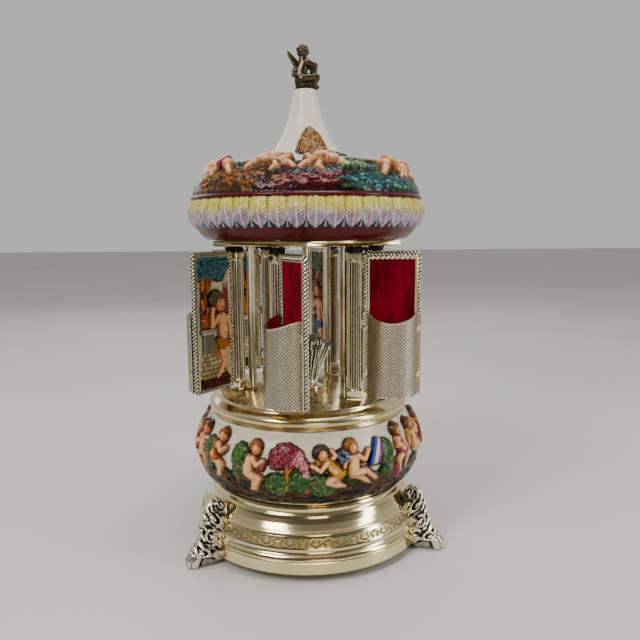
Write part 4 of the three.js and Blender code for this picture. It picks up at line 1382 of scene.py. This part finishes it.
def holder_rivets(name):
    """Two domed rivets down each tab of a holder."""
    parts = []
    for side in (-1, 1):
        for up in RIVET_HEIGHTS:
            centre = np.array([DOOR_MIDDLE + side * (POCKET_R + 1.0), POCKET_BACK - POCKET_WALL,
                               POCKET_Z[0] + up])
            parts.append(half_ellipsoid(centre, (0, -1, 0), 2.3, 0.6, 28, 5))
    return build(name, *merge(parts), POLISHED)


def square_block(half, low, high, edge):
    """A bevelled square block round a column's axis."""
    return box_points((-half, -half, low), (half, half, high), edge)


def fluted_column(name):
    """A fluted shaft between square blocks, with a turned ring at each end."""
    per_flute = 12
    count = FLUTES * per_flute
    angles = circle(count)
    u = (np.arange(count) % per_flute) / per_flute - 0.5
    hollow = np.where(np.abs(u) < 0.4, np.sqrt(np.clip(1 - (u / 0.4) ** 2, 0, 1)), 0)
    low, high = SHAFT_Z
    rows = [(low, 0), (low + 0.6, 0), (low + 1.1, 0.6), (low + 1.8, 1)]
    rows += [(high - (z - low), d) for z, d in reversed(rows)]
    rings = []
    for z, depth in rows:
        r = SHAFT_R - FLUTE_DEPTH * hollow * depth
        rings.append(np.stack([r * np.cos(angles), r * np.sin(angles), np.full(count, z)], 1))
    points = np.vstack(rings)
    parts = [(points, faced_out(points, capped_tube(len(rows), count)))]
    foot = DECK_Z + END_GAP
    parts.append(square_block(4.35, foot, low - 0.4, 0.35))
    parts.append(square_block(4.75, foot, foot + 1.5, 0.4))
    parts.append(square_block(4.6, low - 1.7, low - 0.4, 0.35))
    parts.append(square_block(4.35, high + 0.4, COLUMN_TOP, 0.35))
    for z in (low - 0.1, high + 0.1):
        collar = [(3.2, z - 0.6), (4.6, z - 0.6), (5.0, z), (4.6, z + 0.6), (3.2, z + 0.6)]
        parts.append(turned_part(collar, 48))
    points, faces = merge(parts)
    depth = np.ones(len(points))
    # The flutes are painted dark along their hollows: painted shade.
    depth[:len(rows) * count] = np.concatenate([1 - 0.95 * hollow ** 2 * d for _, d in rows])
    return build(name, points, faces, FLUTED, {"depth": depth}, sharp=32)


def hinge_pins(name):
    """Knuckles that join a frame's hinge edge to its column, and the journals at its ends."""
    parts = []
    for z in (DOOR_Z[0] + 6, (DOOR_Z[0] + DOOR_Z[1]) / 2, DOOR_Z[1] - 8):
        parts.append(box_points((4.2, -0.9, z - 3), (6.4, 0.9, z + 3), 0.3))
    for low, high in ((DECK_Z - 1.9, DECK_Z + 0.6), (COLUMN_TOP - 0.2, PLATE_Z[0] + 10)):
        parts.append(turned_part(rod_profile(2.3, low, high), 24, ring=False))
    return build(name, *merge(parts), POLISHED, sharp=32, weld=True)


def blackened_crank(name):
    """The dark collar over each column, with a short arm that lies along the door."""
    collar = [(2.4, 196.6), (4.9, 196.6), (5.3, 197.2), (5.3, 199.2), (4.2, 200.6), (2.4, 200.6)]
    arm = box_points((3.6, -2, 198), (9, 2, 200.2), 0.5)
    lug = box_points((6.4, -1.5, 197.2), (8.6, 1.5, 198.2), 0.3)
    return build(name, *merge([turned_part(collar, 40), arm, lug]), BLACKENED, sharp=35)


def doors():
    """Each pattern is made once, in a door's own frame, and copied on to all six doors."""
    patterns = [door_panel(kind) for kind in range(3)]
    for index, kind in enumerate(DOOR_PICTURES):
        on_door(patterns[kind], f"painted_panel_{index + 1}", index, "painted_porcelain", "panel")
    makers = (("door_rope", rope_edging, "cast_gilt", ()),
              ("door_frame", door_frame, "polished_brass", ("frame",)),
              ("velvet_lining", velvet_lining, "crimson_velvet", ("lining",)),
              ("holder", half_round_holder, "embossed_gilt", ("pocket",)),
              ("holder_rivets", holder_rivets, "polished_brass", ()),
              ("fluted_column", fluted_column, "polished_brass", ("column",)),
              ("hinge_pins", hinge_pins, "polished_brass", ()),
              ("crank", blackened_crank, "movement_steel", ()))
    for label, make, finish, nodes in makers:
        pattern = make(label)
        patterns.append(pattern)
        for index in range(DOORS):
            piece = on_door(pattern, f"{label}_{index + 1}", index, finish, *nodes)
    for pattern in patterns:
        bpy.data.objects.remove(pattern)


# ---- stage between bowl and roof ---------------------------------------------------------------
def deck():
    """The turned lid of the bowl, whose flat top the columns stand on."""
    rim = [(66.2, 90.4), (66.9, 90.8), (67.1, 91.4), (66.9, 92.0), (66.2, 92.4), (66.0, 92.9),
           (66.9, 93.2), (67.7, 94.0), (68, 95.2), (67.8, 96.5), (67, 97.8), (65.6, 98.9), (63.8, 99.8),
           (62.7, 100.3), (62.3, 100.9), (62.2, 101.8), (61.9, 102.3), (61.5, DECK_Z)]
    inside = [(BORE_R, DECK_Z), (BORE_R, 98.9), (60, 98.9), (62.4, 96), (62.4, 90.5)]
    put(turned("polished_deck", inside + rim, SATIN, 240), "stand", "spun_brass", "deck")


def hexagon(rim, angles):
    """Radii round a hexagon with hollow sides and pointed corners. rim is its corner radius."""
    sector = np.mod(angles + math.pi / 2, math.pi / 3) - math.pi / 6
    straight = rim * math.cos(math.pi / 6) / np.cos(sector)
    return straight - PLATE_HOLLOW * np.cos(3 * sector) ** 2


def top_plate():
    """The plate over the columns, with a moulded edge, bored for the spindle."""
    columns = 360
    angles = circle(columns)
    low, high = PLATE_Z
    edge = [(8, low), (2.4, low), (1.6, 201.3), (0.4, 201.4), (0, 201.9), (0.2, 202.5), (0.9, 202.8),
            (1.0, 203.1), (0.4, 203.5), (0.4, 204.1), (1.2, high), (8, high)]
    outline = hexagon(PLATE_CORNER, angles)
    rings = [(outline - inset, z) for inset, z in edge] + [(BORE_R, high), (BORE_R, low)]
    points = np.vstack([np.stack([r * np.cos(angles), r * np.sin(angles), np.full(columns, z)], 1)
                        for r, z in rings])
    faces = grid_faces(len(rings), columns, wrap_rows=True, wrap_cols=True).tolist()
    piece = build("hexagonal_top_plate", points, faced_out(points, faces), SPUN, sharp=30)
    put(piece, "stand", "spun_brass", "top_plate")


def tie_rods():
    """Plain rods beside the columns, with a collar at each end."""
    low, high = DECK_Z + END_GAP, PLATE_Z[0] - END_GAP
    collar = [(0, 0), (3.4, 0), (3.6, 0.3), (3.6, 1.1), (2.9, 1.5), (ROD_R, 2)]
    profile = [(r, low + z) for r, z in collar] + [(r, high - z) for r, z in collar[::-1]]
    for index in range(DOORS):
        at = pivot(index)
        place = (ROD_CIRCLE * math.cos(at), ROD_CIRCLE * math.sin(at))
        rod = turned(f"polished_rod_{index + 1}", profile, POLISHED, 48, place=place)
        put(rod, "stand", "polished_brass", f"tie_rod_{index + 1}")


def spindle():
    """The rod through the middle, with the flange that carries the roof."""
    profile = [(0, 99.2), (3.0, 99.2), (3.2, 99.5), (3.2, 251.5), (15, 252.1), (15, 254.2), (3.2, 254.2),
               (3.2, 300.3), (3.0, 300.5), (0, 300.5)]
    put(turned("main_spindle", profile, POLISHED, 64), "roof", "polished_brass", "spindle")


def bouquet():
    """A sheaf of fronds set with rows of beads, that opens outwards from the middle of the deck
    and ends in leafy tips."""
    parts, depths = [], []

    def add(points, faces, depth):
        parts.append((points, faces))
        depths.append(depth)

    fronds = [(k * TAU / 9 + 0.2, 15.2, 133.5, 5.2) for k in range(9)]
    fronds += [(k * TAU / 7 + 0.5, 8.6, 138, 4.2) for k in range(7)]
    steps, around, bead_rows = 30, 10, 26
    root = 104.2
    bead, bead_faces = ball(1.0)
    # Each bead is painted bright on top and dark underneath: painted light and shade.
    bead_painted_shade = 0.35 + 0.6 * np.clip(bead[:, 2] * 0.5 + 0.5, 0, 1)
    leaf, leaf_faces = ball(1.0, 2.1)
    for angle, reach, top, foot in fronds:
        t = np.linspace(0, 1, steps)
        r = foot + (reach - foot) * t ** 1.5 + 0.9 * np.sin(math.pi * t)
        z = root + (top - root) * (t - 0.06 * t ** 6)
        out = np.array([math.cos(angle), math.sin(angle), 0])
        side = np.array([-math.sin(angle), math.cos(angle), 0])
        path = r[:, None] * out + z[:, None] * np.array([0, 0, 1])
        run = np.gradient(path, axis=0)
        run /= np.linalg.norm(run, axis=1)[:, None]
        across = np.cross(run, side)
        width = 0.7 + 1.9 * t ** 0.8
        theta = circle(around)
        rings = (path[:, None] + side * (width[:, None] * np.cos(theta))[..., None]
                 + across[:, None] * (0.45 * width[:, None] * np.sin(theta))[..., None])
        points = rings.reshape(-1, 3)
        add(points, faced_out(points, capped_tube(steps, around)), np.full(len(points), 0.12))
        for row in range(1, bead_rows):
            f = row / bead_rows
            centre = np.array([np.interp(f, t, path[:, axis]) for axis in range(3)])
            half = np.interp(f, t, width)
            outward = np.array([np.interp(f, t, across[:, axis]) for axis in range(3)])
            for lane in (-1, 0, 1):
                size = (0.42 + 0.4 * f) * rng.uniform(0.85, 1.15)
                for face in (-1, 1) if lane == 0 else (-1,):
                    off = face * 0.42 * half * (1.1 - abs(lane))
                    place = centre + side * (0.86 * half * lane) + outward * off
                    add(bead * size + place, bead_faces, bead_painted_shade)
        for lean in (-1.1, -0.4, 0.35, 1.0):
            tilt = (Matrix.Rotation(angle, 3, "Z") @ Matrix.Rotation(lean * 0.6, 3, "X")
                    @ Matrix.Rotation(0.5, 3, "Y"))
            tip = leaf * rng.uniform(1.0, 1.35) @ np.array(tilt).T
            place = path[-1] + side * (-1.5 * lean) + np.array([0, 0, 0.9])
            add(tip + place, leaf_faces, np.full(len(tip), 0.3))
    low = DECK_Z + END_GAP
    collar = [(BORE_R, low), (10, low), (10.3, 103.3), (9.6, root), (7.2, 105.4), (6.2, 107.5), (5.4, 109),
              (BORE_R, 109)]
    collar, collar_faces = turned_part(collar, 72)
    add(collar, collar_faces, np.full(len(collar), 0.8))
    piece = build("beaded_bouquet", *merge(parts), CAST, {"depth": np.concatenate(depths)})
    put(piece, "stand", "cast_gilt", "centre_bouquet")


# ---- base --------------------------------------------------------------------------------------
BASE_OUTLINE = [(77.0, 5.8), (78.7, 5.8), (78.9, 6.2), (77.9, 12.3), (77.3, 12.7), (77.8, 13.2),
                (77.9, 14.2), (77.3, 15.5), (76.9, 16.0), (76.7, 16.2), (76.9, 16.7), (76.6, 17.3),
                (76.3, 17.6), (75.9, 18.9), (76.1, 19.8), (75.9, 20.4), (75.0, 22.6), (73.9, 24.9),
                (73.1, 26.6), (72.6, 27.4), (72.5, 28.2), (72.0, 28.8), (71.6, 29.2), (71.8, 29.9),
                (71.3, 30.5), (69.3, 33.3), (67.9, 36.0), (67.2, 37.9), (66.4, 38.5), (66.0, 39.4),
                (66.4, 40.0), (66.5, 41.4), (65.9, 42.7), (65.0, 43.0), (64.5, 43.5), (64.9, 44.0),
                (65.0, 44.7), (64.6, 45.15)]
BASE_INSIDE = [(56, 45.15), (56, 43), (62, 41), (64.4, 37), (69.8, 26.6), (73.6, 18.4), (76.7, 11),
               (76.7, 5.8)]
SCROLLS = 30  # repeats of the engraved scroll
BAND_FOOT = 20.6  # where the engraved band begins
BAND_RISE = 5.9
BEAD_LINES = (("upper_beads", 72.35, 28.2, 0.42), ("lower_beads", 76.75, 16.7, 0.44))


def base():
    """The spun base, with an engraved band of scrolls and leaves."""
    outline = []
    for (r0, z0), (r1, z1) in zip(BASE_OUTLINE, BASE_OUTLINE[1:]):
        steps = max(1, int(math.hypot(r1 - r0, z1 - z0) / 0.45))
        outline += [(r0 + (r1 - r0) * k / steps, z0 + (z1 - z0) * k / steps) for k in range(steps)]
    outline.append(BASE_OUTLINE[-1])
    profile = np.array(outline)
    columns = 900
    angles = circle(columns)
    z = profile[:, 1:]
    band = np.clip((z - 20.9) / 0.5, 0, 1) * np.clip((26.3 - z) / 0.5, 0, 1)
    u = angles * SCROLLS / TAU % 1
    v = (z - BAND_FOOT) / BAND_RISE
    vine = np.abs(v - 0.5 - 0.26 * np.sin(TAU * u)) < 0.07
    petal = np.zeros_like(v * u)
    for k in range(4):
        cu, cv = (k + 0.5) / 4, 0.5 - 0.2 * math.sin(TAU * (k + 0.5) / 4)
        du = (u - cu) * 15.5 / BAND_RISE
        q = np.hypot(du, v - cv)
        around = np.arctan2(v - cv, du)
        petal = np.maximum(petal, (q < 0.17 + 0.07 * np.cos(5 * around)) * (q > 0.05))
    stipple = (np.sin(angles * 420) * np.sin(z * 5.2) > 0.55) * band
    engraved = np.maximum(np.maximum(vine, petal) * band, 0.5 * stipple)
    r = profile[:, :1] - 0.16 * blur(engraved, 1)
    outer = np.stack([r * np.cos(angles), r * np.sin(angles), np.broadcast_to(z, r.shape)], -1)
    inner = revolve_points(BASE_INSIDE, angles)
    points = np.concatenate([outer, inner])
    faces = grid_faces(len(points), columns, wrap_rows=True, wrap_cols=True)
    brightness = 1 - 0.35 * band - 0.6 * engraved
    depth = np.concatenate([brightness.ravel(), np.ones(len(inner) * columns)])
    piece = build("spun_base", points.reshape(-1, 3), faces, ENGRAVED, {"depth": depth}, sharp=38)
    put(piece, "stand", "spun_brass", "base_moulding")
    for name, radius, height, size in BEAD_LINES:
        put(beads(name, radius, height, size), "stand", "spun_brass")


def beads(name, radius, z, size):
    """A milled line of small beads right round the base."""
    count = int(TAU * radius / (2 * size * 1.02))
    shape, faces = ball(size, 1.0, 3, 6)
    parts = []
    for i in range(count):
        a = TAU * i / count
        c, s = math.cos(a), math.sin(a)
        turned_shape = shape @ np.array([[c, s, 0], [-s, c, 0], [0, 0, 1]])
        parts.append((turned_shape + np.array([radius * c, radius * s, z]), faces))
    return build(name, *merge(parts), SPUN)


# ---- cast feet ---------------------------------------------------------------------------------
# Outlines of a foot seen from the side, (distance from the main axis, z), from the top down.
FOOT_OUTER = [(70.6, 38.2), (73, 40.2), (77, 39.6), (81.6, 36), (84.4, 31), (85.6, 25), (87.4, 18.6),
              (90.4, 13), (94, 8.8), (96.6, 5), (96.2, 1.4), (93, 0.1)]
FOOT_INNER = [(70.0, 37.4), (71.4, 35), (73, 31), (74.4, 27.6), (76, 23.6), (77.6, 19.6), (79.2, 14.6),
              (80.4, 9.4), (82.6, 5), (85, 1.8), (88, 0.3), (91, 0.1)]
FOOT_HALF_WIDTH = [4.2, 6.4, 7.8, 8.3, 7.8, 7.6, 8.4, 9.2, 8.4, 6.4, 5.2, 3.6]


def curl(art, x, y, size, hand, turns, rise):
    """A leafy scroll that winds inwards and ends in a bead. hand is 1 or -1."""
    steps = 26
    last = None
    for k in range(steps + 1):
        t = k / steps
        a = math.pi / 2 + hand * TAU * turns * t
        r = size * (1 - 0.86 * t)
        here = (x + r * math.cos(a), y + r * math.sin(a))
        if last:
            thick = 0.24 * size * (1 - 0.5 * t)
            art.limb(last, here, thick, thick, rise, 1.0, base=0.15 + 0.5 * t)
        last = here
    art.dome(x, y, 0.3 * size, 0.3 * size, rise, 1.0, base=0.6)


def acanthus(art, y, length, width, lobes, rise):
    """A leaf down the middle of a foot, with a midrib and lobes that curl off both sides."""
    for k in range(lobes):
        t = (k + 0.3) / lobes
        low = y - length * t
        spread = width * math.sin(math.pi * (0.2 + 0.75 * t))
        for side in (-1, 1):
            tip = (side * spread, low - 0.16 * length)
            art.limb((0, low), tip, 1.2, 0.7, rise, 1.0, base=0.3)
            art.dome(*tip, 1.0, 0.9, rise * 0.8, 1.0, base=0.5)
    art.limb((0, y), (0, y - length), 1.0, 0.5, rise * 0.9, 1.0, base=0.9)


def foot_relief():
    """Cast ornament over the unrolled outer face: x across, y up from the toe."""
    x = np.linspace(-11, 11, 150)
    y = np.linspace(0, FOOT_LENGTH, 300)
    art = Relief(x, y, np.ones(3))
    curls_down = ((4.8, 51.5, 3.9, 1, 1.15, 1.9), (6.4, 40.5, 3.6, -1, 1.1, 1.8),
                  (6.8, 29.5, 3.8, 1, 1.15, 1.8), (5.2, 19.0, 3.2, -1, 1.1, 1.7))
    for side in (-1, 1):
        for across, up, size, hand, turns, rise in curls_down:
            curl(art, side * across, up, size, side * hand, turns, rise)
        for k in range(5):
            low = 48 - 6.4 * k + rng.uniform(-1, 1)
            art.limb((side * 10.4, low), (side * 8.2, low - 4.2), 1.3, 0.7, 1.5, 1.0, base=0.2)
            art.limb((side * 9.8, low - 3), (side * 10.8, low - 5.4), 0.9, 0.5, 1.2, 1.0, base=0.5)
    for k in range(5):
        a = math.radians(90 + 26 * (k - 2))
        art.limb((0, 52), (5.4 * math.cos(a), 52 + 5.4 * math.sin(a)), 0.8, 1.3, 1.4, 1.0, base=0.2)
    art.dome(0, 52, 2.0, 2.0, 1.8, 1.0, base=0.5)
    acanthus(art, 48, 16, 4.6, 4, 1.9)
    acanthus(art, 30, 13, 4.2, 3, 2.0)
    for k in range(4):
        cx = -5.4 + 3.6 * k
        art.limb((cx * 0.8, 16), (cx, 8), 1.7, 2.0, 1.9, 1.0, base=0.2)
        art.dome(cx, 6.2, 2.0, 2.6, 2.1, 1.0, base=0.3)
        art.dome(cx, 2.4, 1.3, 2.4, 1.6, 1.0, base=0.7)
    for _ in range(44):
        cx, cy, a = rng.uniform(-10.4, 10.4), rng.uniform(14, 58), rng.uniform(0, math.pi)
        reach, thick = rng.uniform(1, 2.6), rng.uniform(0.7, 1.2)
        tip = (cx + reach * math.cos(a), cy + reach * math.sin(a))
        art.limb((cx, cy), tip, thick, 0.5, 1.1, 1.0, base=0.2)
    height = blur(blur(art.height, 1), 1)
    depth = np.clip(0.6 + 0.9 * (height - blur(height, 7)) + 0.15 * (height - 1.2), 0, 1)
    return x, y, height, depth


def cast_foot(name):
    """A bent bar between the two outlines, with the ornament laid over its outer face."""
    stations, rings = 150, 110
    t = np.linspace(0, 1, stations)
    outer = spline(FOOT_OUTER, stations - 1)
    inner = spline(FOOT_INNER, stations - 1)
    half = np.interp(t, np.linspace(0, 1, len(FOOT_HALF_WIDTH)), FOOT_HALF_WIDTH)
    x, y, height, depth = foot_relief()
    phi = np.linspace(-0.5 * math.pi - 0.5, 0.5 * math.pi + 0.5, rings)
    face = np.abs(np.cos(phi)) ** 0.75 * np.sign(np.cos(phi))
    side = np.abs(np.sin(phi)) ** 0.9 * np.sign(np.sin(phi))
    place = np.clip(phi / (math.pi / 2), -1.15, 1.15) * 9.4
    row = (1 - t) * (len(y) - 1)
    col = (place - x[0]) / (x[-1] - x[0]) * (len(x) - 1)
    r0, c0 = np.floor(row).astype(int), np.floor(col).astype(int)
    r1, c1 = np.minimum(r0 + 1, len(y) - 1), np.minimum(c0 + 1, len(x) - 1)
    fr, fc = (row - r0)[:, None], (col - c0)[None, :]

    def sampled(field):
        top = field[np.ix_(r0, c0)] * (1 - fc) + field[np.ix_(r0, c1)] * fc
        low = field[np.ix_(r1, c0)] * (1 - fc) + field[np.ix_(r1, c1)] * fc
        return top * (1 - fr) + low * fr

    lift = sampled(height) * 0.95 - 1.2
    lift = lift * np.clip(np.sin(math.pi * np.clip(t, 0.02, 0.98)) * 4, 0.15, 1)[:, None]
    lift = lift * np.clip((np.cos(phi) + 0.3) / 0.5, 0, 1)
    thick = outer - inner
    r = inner[:, :1] + thick[:, :1] * face
    z = inner[:, 1:] + thick[:, 1:] * face
    across = half[:, None] * side
    unit = thick / np.linalg.norm(thick, axis=1)[:, None]
    r = r + unit[:, :1] * lift * np.cos(phi)
    z = z + unit[:, 1:] * lift * np.cos(phi)
    across = across + lift * np.sin(phi)
    points = np.stack([r, across, np.maximum(z, 0.02)], -1)
    flat = points.reshape(-1, 3)
    faces = faced_out(flat, capped_tube(stations, rings))
    return build(name, flat, faces, CAST, {"depth": sampled(depth).ravel()})


def feet():
    pattern = cast_foot("foot_pattern")
    for number, angle in enumerate(FOOT_ANGLES, 1):
        turn = Matrix.Rotation(math.radians(angle), 4, "Z")
        put(copy_of(pattern, f"cast_foot_{number}", turn), "stand", "cast_gilt", f"foot_{number}")
    bpy.data.objects.remove(pattern)


# ---- finial ------------------------------------------------------------------------------------
def values_of(elements, key, width, kind=float):
    """One value or vector per element of a mesh, as rows."""
    flat = np.empty(len(elements) * width, kind)
    elements.foreach_get(key, flat)
    return flat.reshape(-1, width)


def remeshed(name, blobs, voxel, material, smooth_steps):
    """Ellipsoids and limbs melted together into one cast form. Each blob is (from, to, radii):
    a row of balls from one point to another. The depth layer is dark where the form is hollow."""
    work = bmesh.new()
    for start, end, (ra, rb) in blobs:
        start, end = Vector(start), Vector(end)
        steps = max(1, int((end - start).length / (0.25 * min(ra, rb))))
        for k in range(steps + 1):
            f = k / steps
            size = Matrix.Scale((ra + (rb - ra) * f) * MM, 4)
            place = Matrix.Translation(start.lerp(end, f) * MM) @ size
            bmesh.ops.create_icosphere(work, subdivisions=2, radius=1, matrix=place)
    mesh = bpy.data.meshes.new(name + "_lump")
    work.to_mesh(mesh)
    work.free()
    lump = linked(name + "_lump", mesh)
    melt = lump.modifiers.new("melt", "REMESH")
    melt.mode = "VOXEL"
    melt.voxel_size = voxel * MM
    soft = lump.modifiers.new("soft", "SMOOTH")
    soft.iterations = smooth_steps
    bpy.context.view_layer.update()
    whole = bpy.data.meshes.new_from_object(lump.evaluated_get(bpy.context.evaluated_depsgraph_get()))
    bpy.data.objects.remove(lump)
    points = values_of(whole.vertices, "co", 3) / MM
    normals = values_of(whole.vertices, "normal", 3)
    edges = values_of(whole.edges, "vertices", 2, int)
    degree = np.bincount(edges.ravel(), minlength=len(points))[:, None]
    mean = points
    for _ in range(5):
        total = np.zeros_like(points)
        np.add.at(total, edges[:, 0], mean[edges[:, 1]])
        np.add.at(total, edges[:, 1], mean[edges[:, 0]])
        mean = total / degree
    hollow = ((mean - points) * normals).sum(1)
    depth = np.clip(0.55 - hollow / (1.6 * voxel), 0, 1)
    faces = [list(p.vertices) for p in whole.polygons]
    bpy.data.meshes.remove(whole)
    return build(name, points, faces, material, {"depth": depth})


def finial():
    """A seated winged child with knees drawn up, on a thin dark disc."""
    z = FINIAL_SEAT
    blobs = [((-2.6, 0, z + 3.4), (3.2, 0, z + 3.4), (4.3, 3.8)),
             ((-2.6, 0, z + 5.6), (-2.4, 0, z + 12.2), (4.7, 4.1)),
             ((-2.2, 0, z + 12.2), (-0.8, -0.1, z + 16.6), (4.1, 3.6)),
             ((-1.6, 0, z + 16.8), (2.6, 0, z + 17.0), (2.9, 2.3)),
             ((-1.3, -0.2, z + 17), (-1.4, -0.3, z + 21), (3.1, 2.8)),
             ((-1.5, -0.3, z + 24), (-1.3, -0.4, z + 24.6), (4.1, 4.0)),
             ((1.6, -1.4, z + 23.0), (2.2, -1.5, z + 23.0), (1.1, 0.9)),
             ((-8.0, -1.8, z + 12.4), (-7.4, -1.8, z + 9.4), (1.1, 1.7)),
             ((-7.4, -1.8, z + 9.2), (-4.6, -1.6, z + 9.6), (1.7, 1.7))]
    for side, knee, elbow in ((-1, (7.2, 7.4), (6.6, 14.6)), (1, (6.2, 9.4), (5.0, 13.8))):
        y = 2.5 * side
        (kx, kz), (ex, ez) = knee, elbow
        blobs += [((-2, y, z + 6.4), (kx, y, z + kz), (3.3, 2.7)),
                  ((kx, y, z + kz), (kx - 1.2, y, z + 2.4), (2.5, 1.6)),
                  ((kx - 1.2, y, z + 1.8), (kx + 1.2, y, z + 1.4), (1.5, 1.1)),
                  ((1.2, y, z + 17.0), (ex, y * 1.2, z + ez), (2.3, 2.0)),
                  ((ex, y * 1.2, z + ez), (ex - 0.6, y, z + 10.4), (2.0, 1.6))]
        for k in range(6):
            root = (-3.8, 1.3 * side, z + 15 - 0.7 * k)
            tip = (-11.0 + 1.15 * k, side * (3.2 - 0.1 * k), z + 23.0 - 2.2 * k)
            blobs.append((root, tip, (1.7, 0.8)))
    for k in range(26):
        a, up = 2.4 * k, 0.15 + 0.83 * (k / 25)
        r = 3.9 * math.sqrt(1 - up ** 2)
        x, y = -1.5 + r * math.cos(a), -0.4 + r * math.sin(a)
        if x < 0.8 or up > 0.6:
            blobs.append(((x, y, z + 24.2 + 3.7 * up), (x, y, z + 24.3 + 3.7 * up), (0.8, 0.8)))
    figure = remeshed("finial_figure", blobs, 0.28, BRONZE, 4)
    put(figure, "roof", "antique_bronze", "finial")
    disc = [(0, 0), (6.6, 0), (7.0, 0.3), (7.0, 0.9), (6.4, 1.4), (4.8, 2.0), (4.2, 3.2), (0, 3.4)]
    disc = [(r, z + up) for r, up in disc]
    dull = {"depth": np.full(96 * len(disc), 0.35)}
    put(turned("finial_disc", disc, BRONZE, 96, layers=dull), "roof", "antique_bronze")


# ---- hidden works: the CAD shapes stay, with their own finishes ---------------------------------
def works():
    """Finishes for the CAD pieces of the movement and the gears."""
    finishes = {"movement_bedplate": STEEL, "comb": STEEL, "spring_barrel": MACHINED,
                "pin_cylinder": MACHINED, "winding_key": MACHINED, "sun_gear": MACHINED,
                "bottom_cover": SPUN}
    finishes.update({f"door_{i + 1}_pinion": MACHINED for i in range(DOORS)})
    for name, material in finishes.items():
        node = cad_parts[name]
        node.data.materials.clear()
        node.data.materials.append(material)


# ---- camera, floor and light -------------------------------------------------------------------
EYE = (0, -0.4381, 0.2115)  # metres
PITCH_DOWN = 8.09  # degrees
YAW = -1.13
ROLL = -0.38
LIGHT_AIM = (0, 0, 0.18)


def camera():
    """The photograph's view, found from the circles of the base, deck and roof."""
    lens = bpy.data.cameras.new("camera")
    lens.lens = 36.06
    lens.sensor_width = 36
    lens.clip_start = 0.02
    eye = linked("camera", lens)
    turns = ((YAW, "Z"), (90 - PITCH_DOWN, "X"), (ROLL, "Z"))
    place = Matrix.Translation(EYE)
    for degrees, axis in turns:
        place = place @ Matrix.Rotation(math.radians(degrees), 4, axis)
    eye.matrix_world = place
    bpy.context.scene.camera = eye


def floor():
    """A plain pale floor, six metres out each way."""
    reach = 6000
    points = [(-reach, -reach, 0), (reach, -reach, 0), (reach, reach, 0), (-reach, reach, 0)]
    look = Look("pale_floor", srgb("d6d4d0"), 0.0, 0.55)
    look.color(look.mix(look.ramp(look.noise(3, 3), 0.3, 0.7), srgb("c6c4c0"), srgb("cfcdc9")))
    build("floor", points, [[0, 1, 2, 3]], look.material)


def area_light(name, place, size, power, tint=(1, 1, 1)):
    """A soft rectangular lamp that points at the middle of the object."""
    lamp = bpy.data.lights.new(name, "AREA")
    lamp.shape = "RECTANGLE"
    lamp.size, lamp.size_y = size
    lamp.energy = power
    lamp.color = tint
    holder = linked(name, lamp)
    holder.location = place
    holder.rotation_euler = (Vector(LIGHT_AIM) - Vector(place)).to_track_quat("-Z", "Y").to_euler()


def studio_world():
    """Surroundings that are pale above and behind, and dark below and in front."""
    world = bpy.data.worlds.new("studio")
    world.use_nodes = True
    nodes, links = world.node_tree.nodes, world.node_tree.links
    coords = nodes.new("ShaderNodeTexCoord")
    split = nodes.new("ShaderNodeSeparateXYZ")
    links.new(coords.outputs["Generated"], split.inputs[0])
    lean = nodes.new("ShaderNodeMath")
    lean.operation = "MULTIPLY_ADD"
    links.new(split.outputs["Z"], lean.inputs[0])
    lean.inputs[1].default_value = 0.8
    links.new(split.outputs["Y"], lean.inputs[2])
    ramp = nodes.new("ShaderNodeValToRGB")
    ramp.color_ramp.elements[0].color = (0.085, 0.08, 0.072, 1)
    ramp.color_ramp.elements[0].position = 0.3
    ramp.color_ramp.elements[1].color = (0.52, 0.52, 0.51, 1)
    ramp.color_ramp.elements[1].position = 0.8
    shift = nodes.new("ShaderNodeMapRange")
    shift.inputs["From Min"].default_value = -1
    links.new(lean.outputs[0], shift.inputs["Value"])
    links.new(shift.outputs["Result"], ramp.inputs["Fac"])
    links.new(ramp.outputs["Color"], nodes["Background"].inputs["Color"])
    nodes["Background"].inputs["Strength"].default_value = 1.05
    bpy.context.scene.world = world


def lights():
    studio_world()
    area_light("key", (-0.6, -0.7, 0.95), (0.4, 0.6), 10, (1, 0.98, 0.95))
    area_light("window", (1.1, -0.45, 0.6), (0.25, 0.9), 8, (0.94, 0.97, 1))
    area_light("warm_fill", (0.25, -1.5, 0.3), (0.5, 0.35), 2.2, (1, 0.82, 0.5))
    area_light("back", (-0.3, 1.1, 0.8), (1.4, 0.7), 4.5)
    area_light("overhead", (0.1, -0.1, 1.3), (0.6, 0.4), 6)


bowl()
roof()
doors()
deck()
top_plate()
tie_rods()
spindle()
bouquet()
base()
feet()
finial()
works()
camera()
floor()
lights()
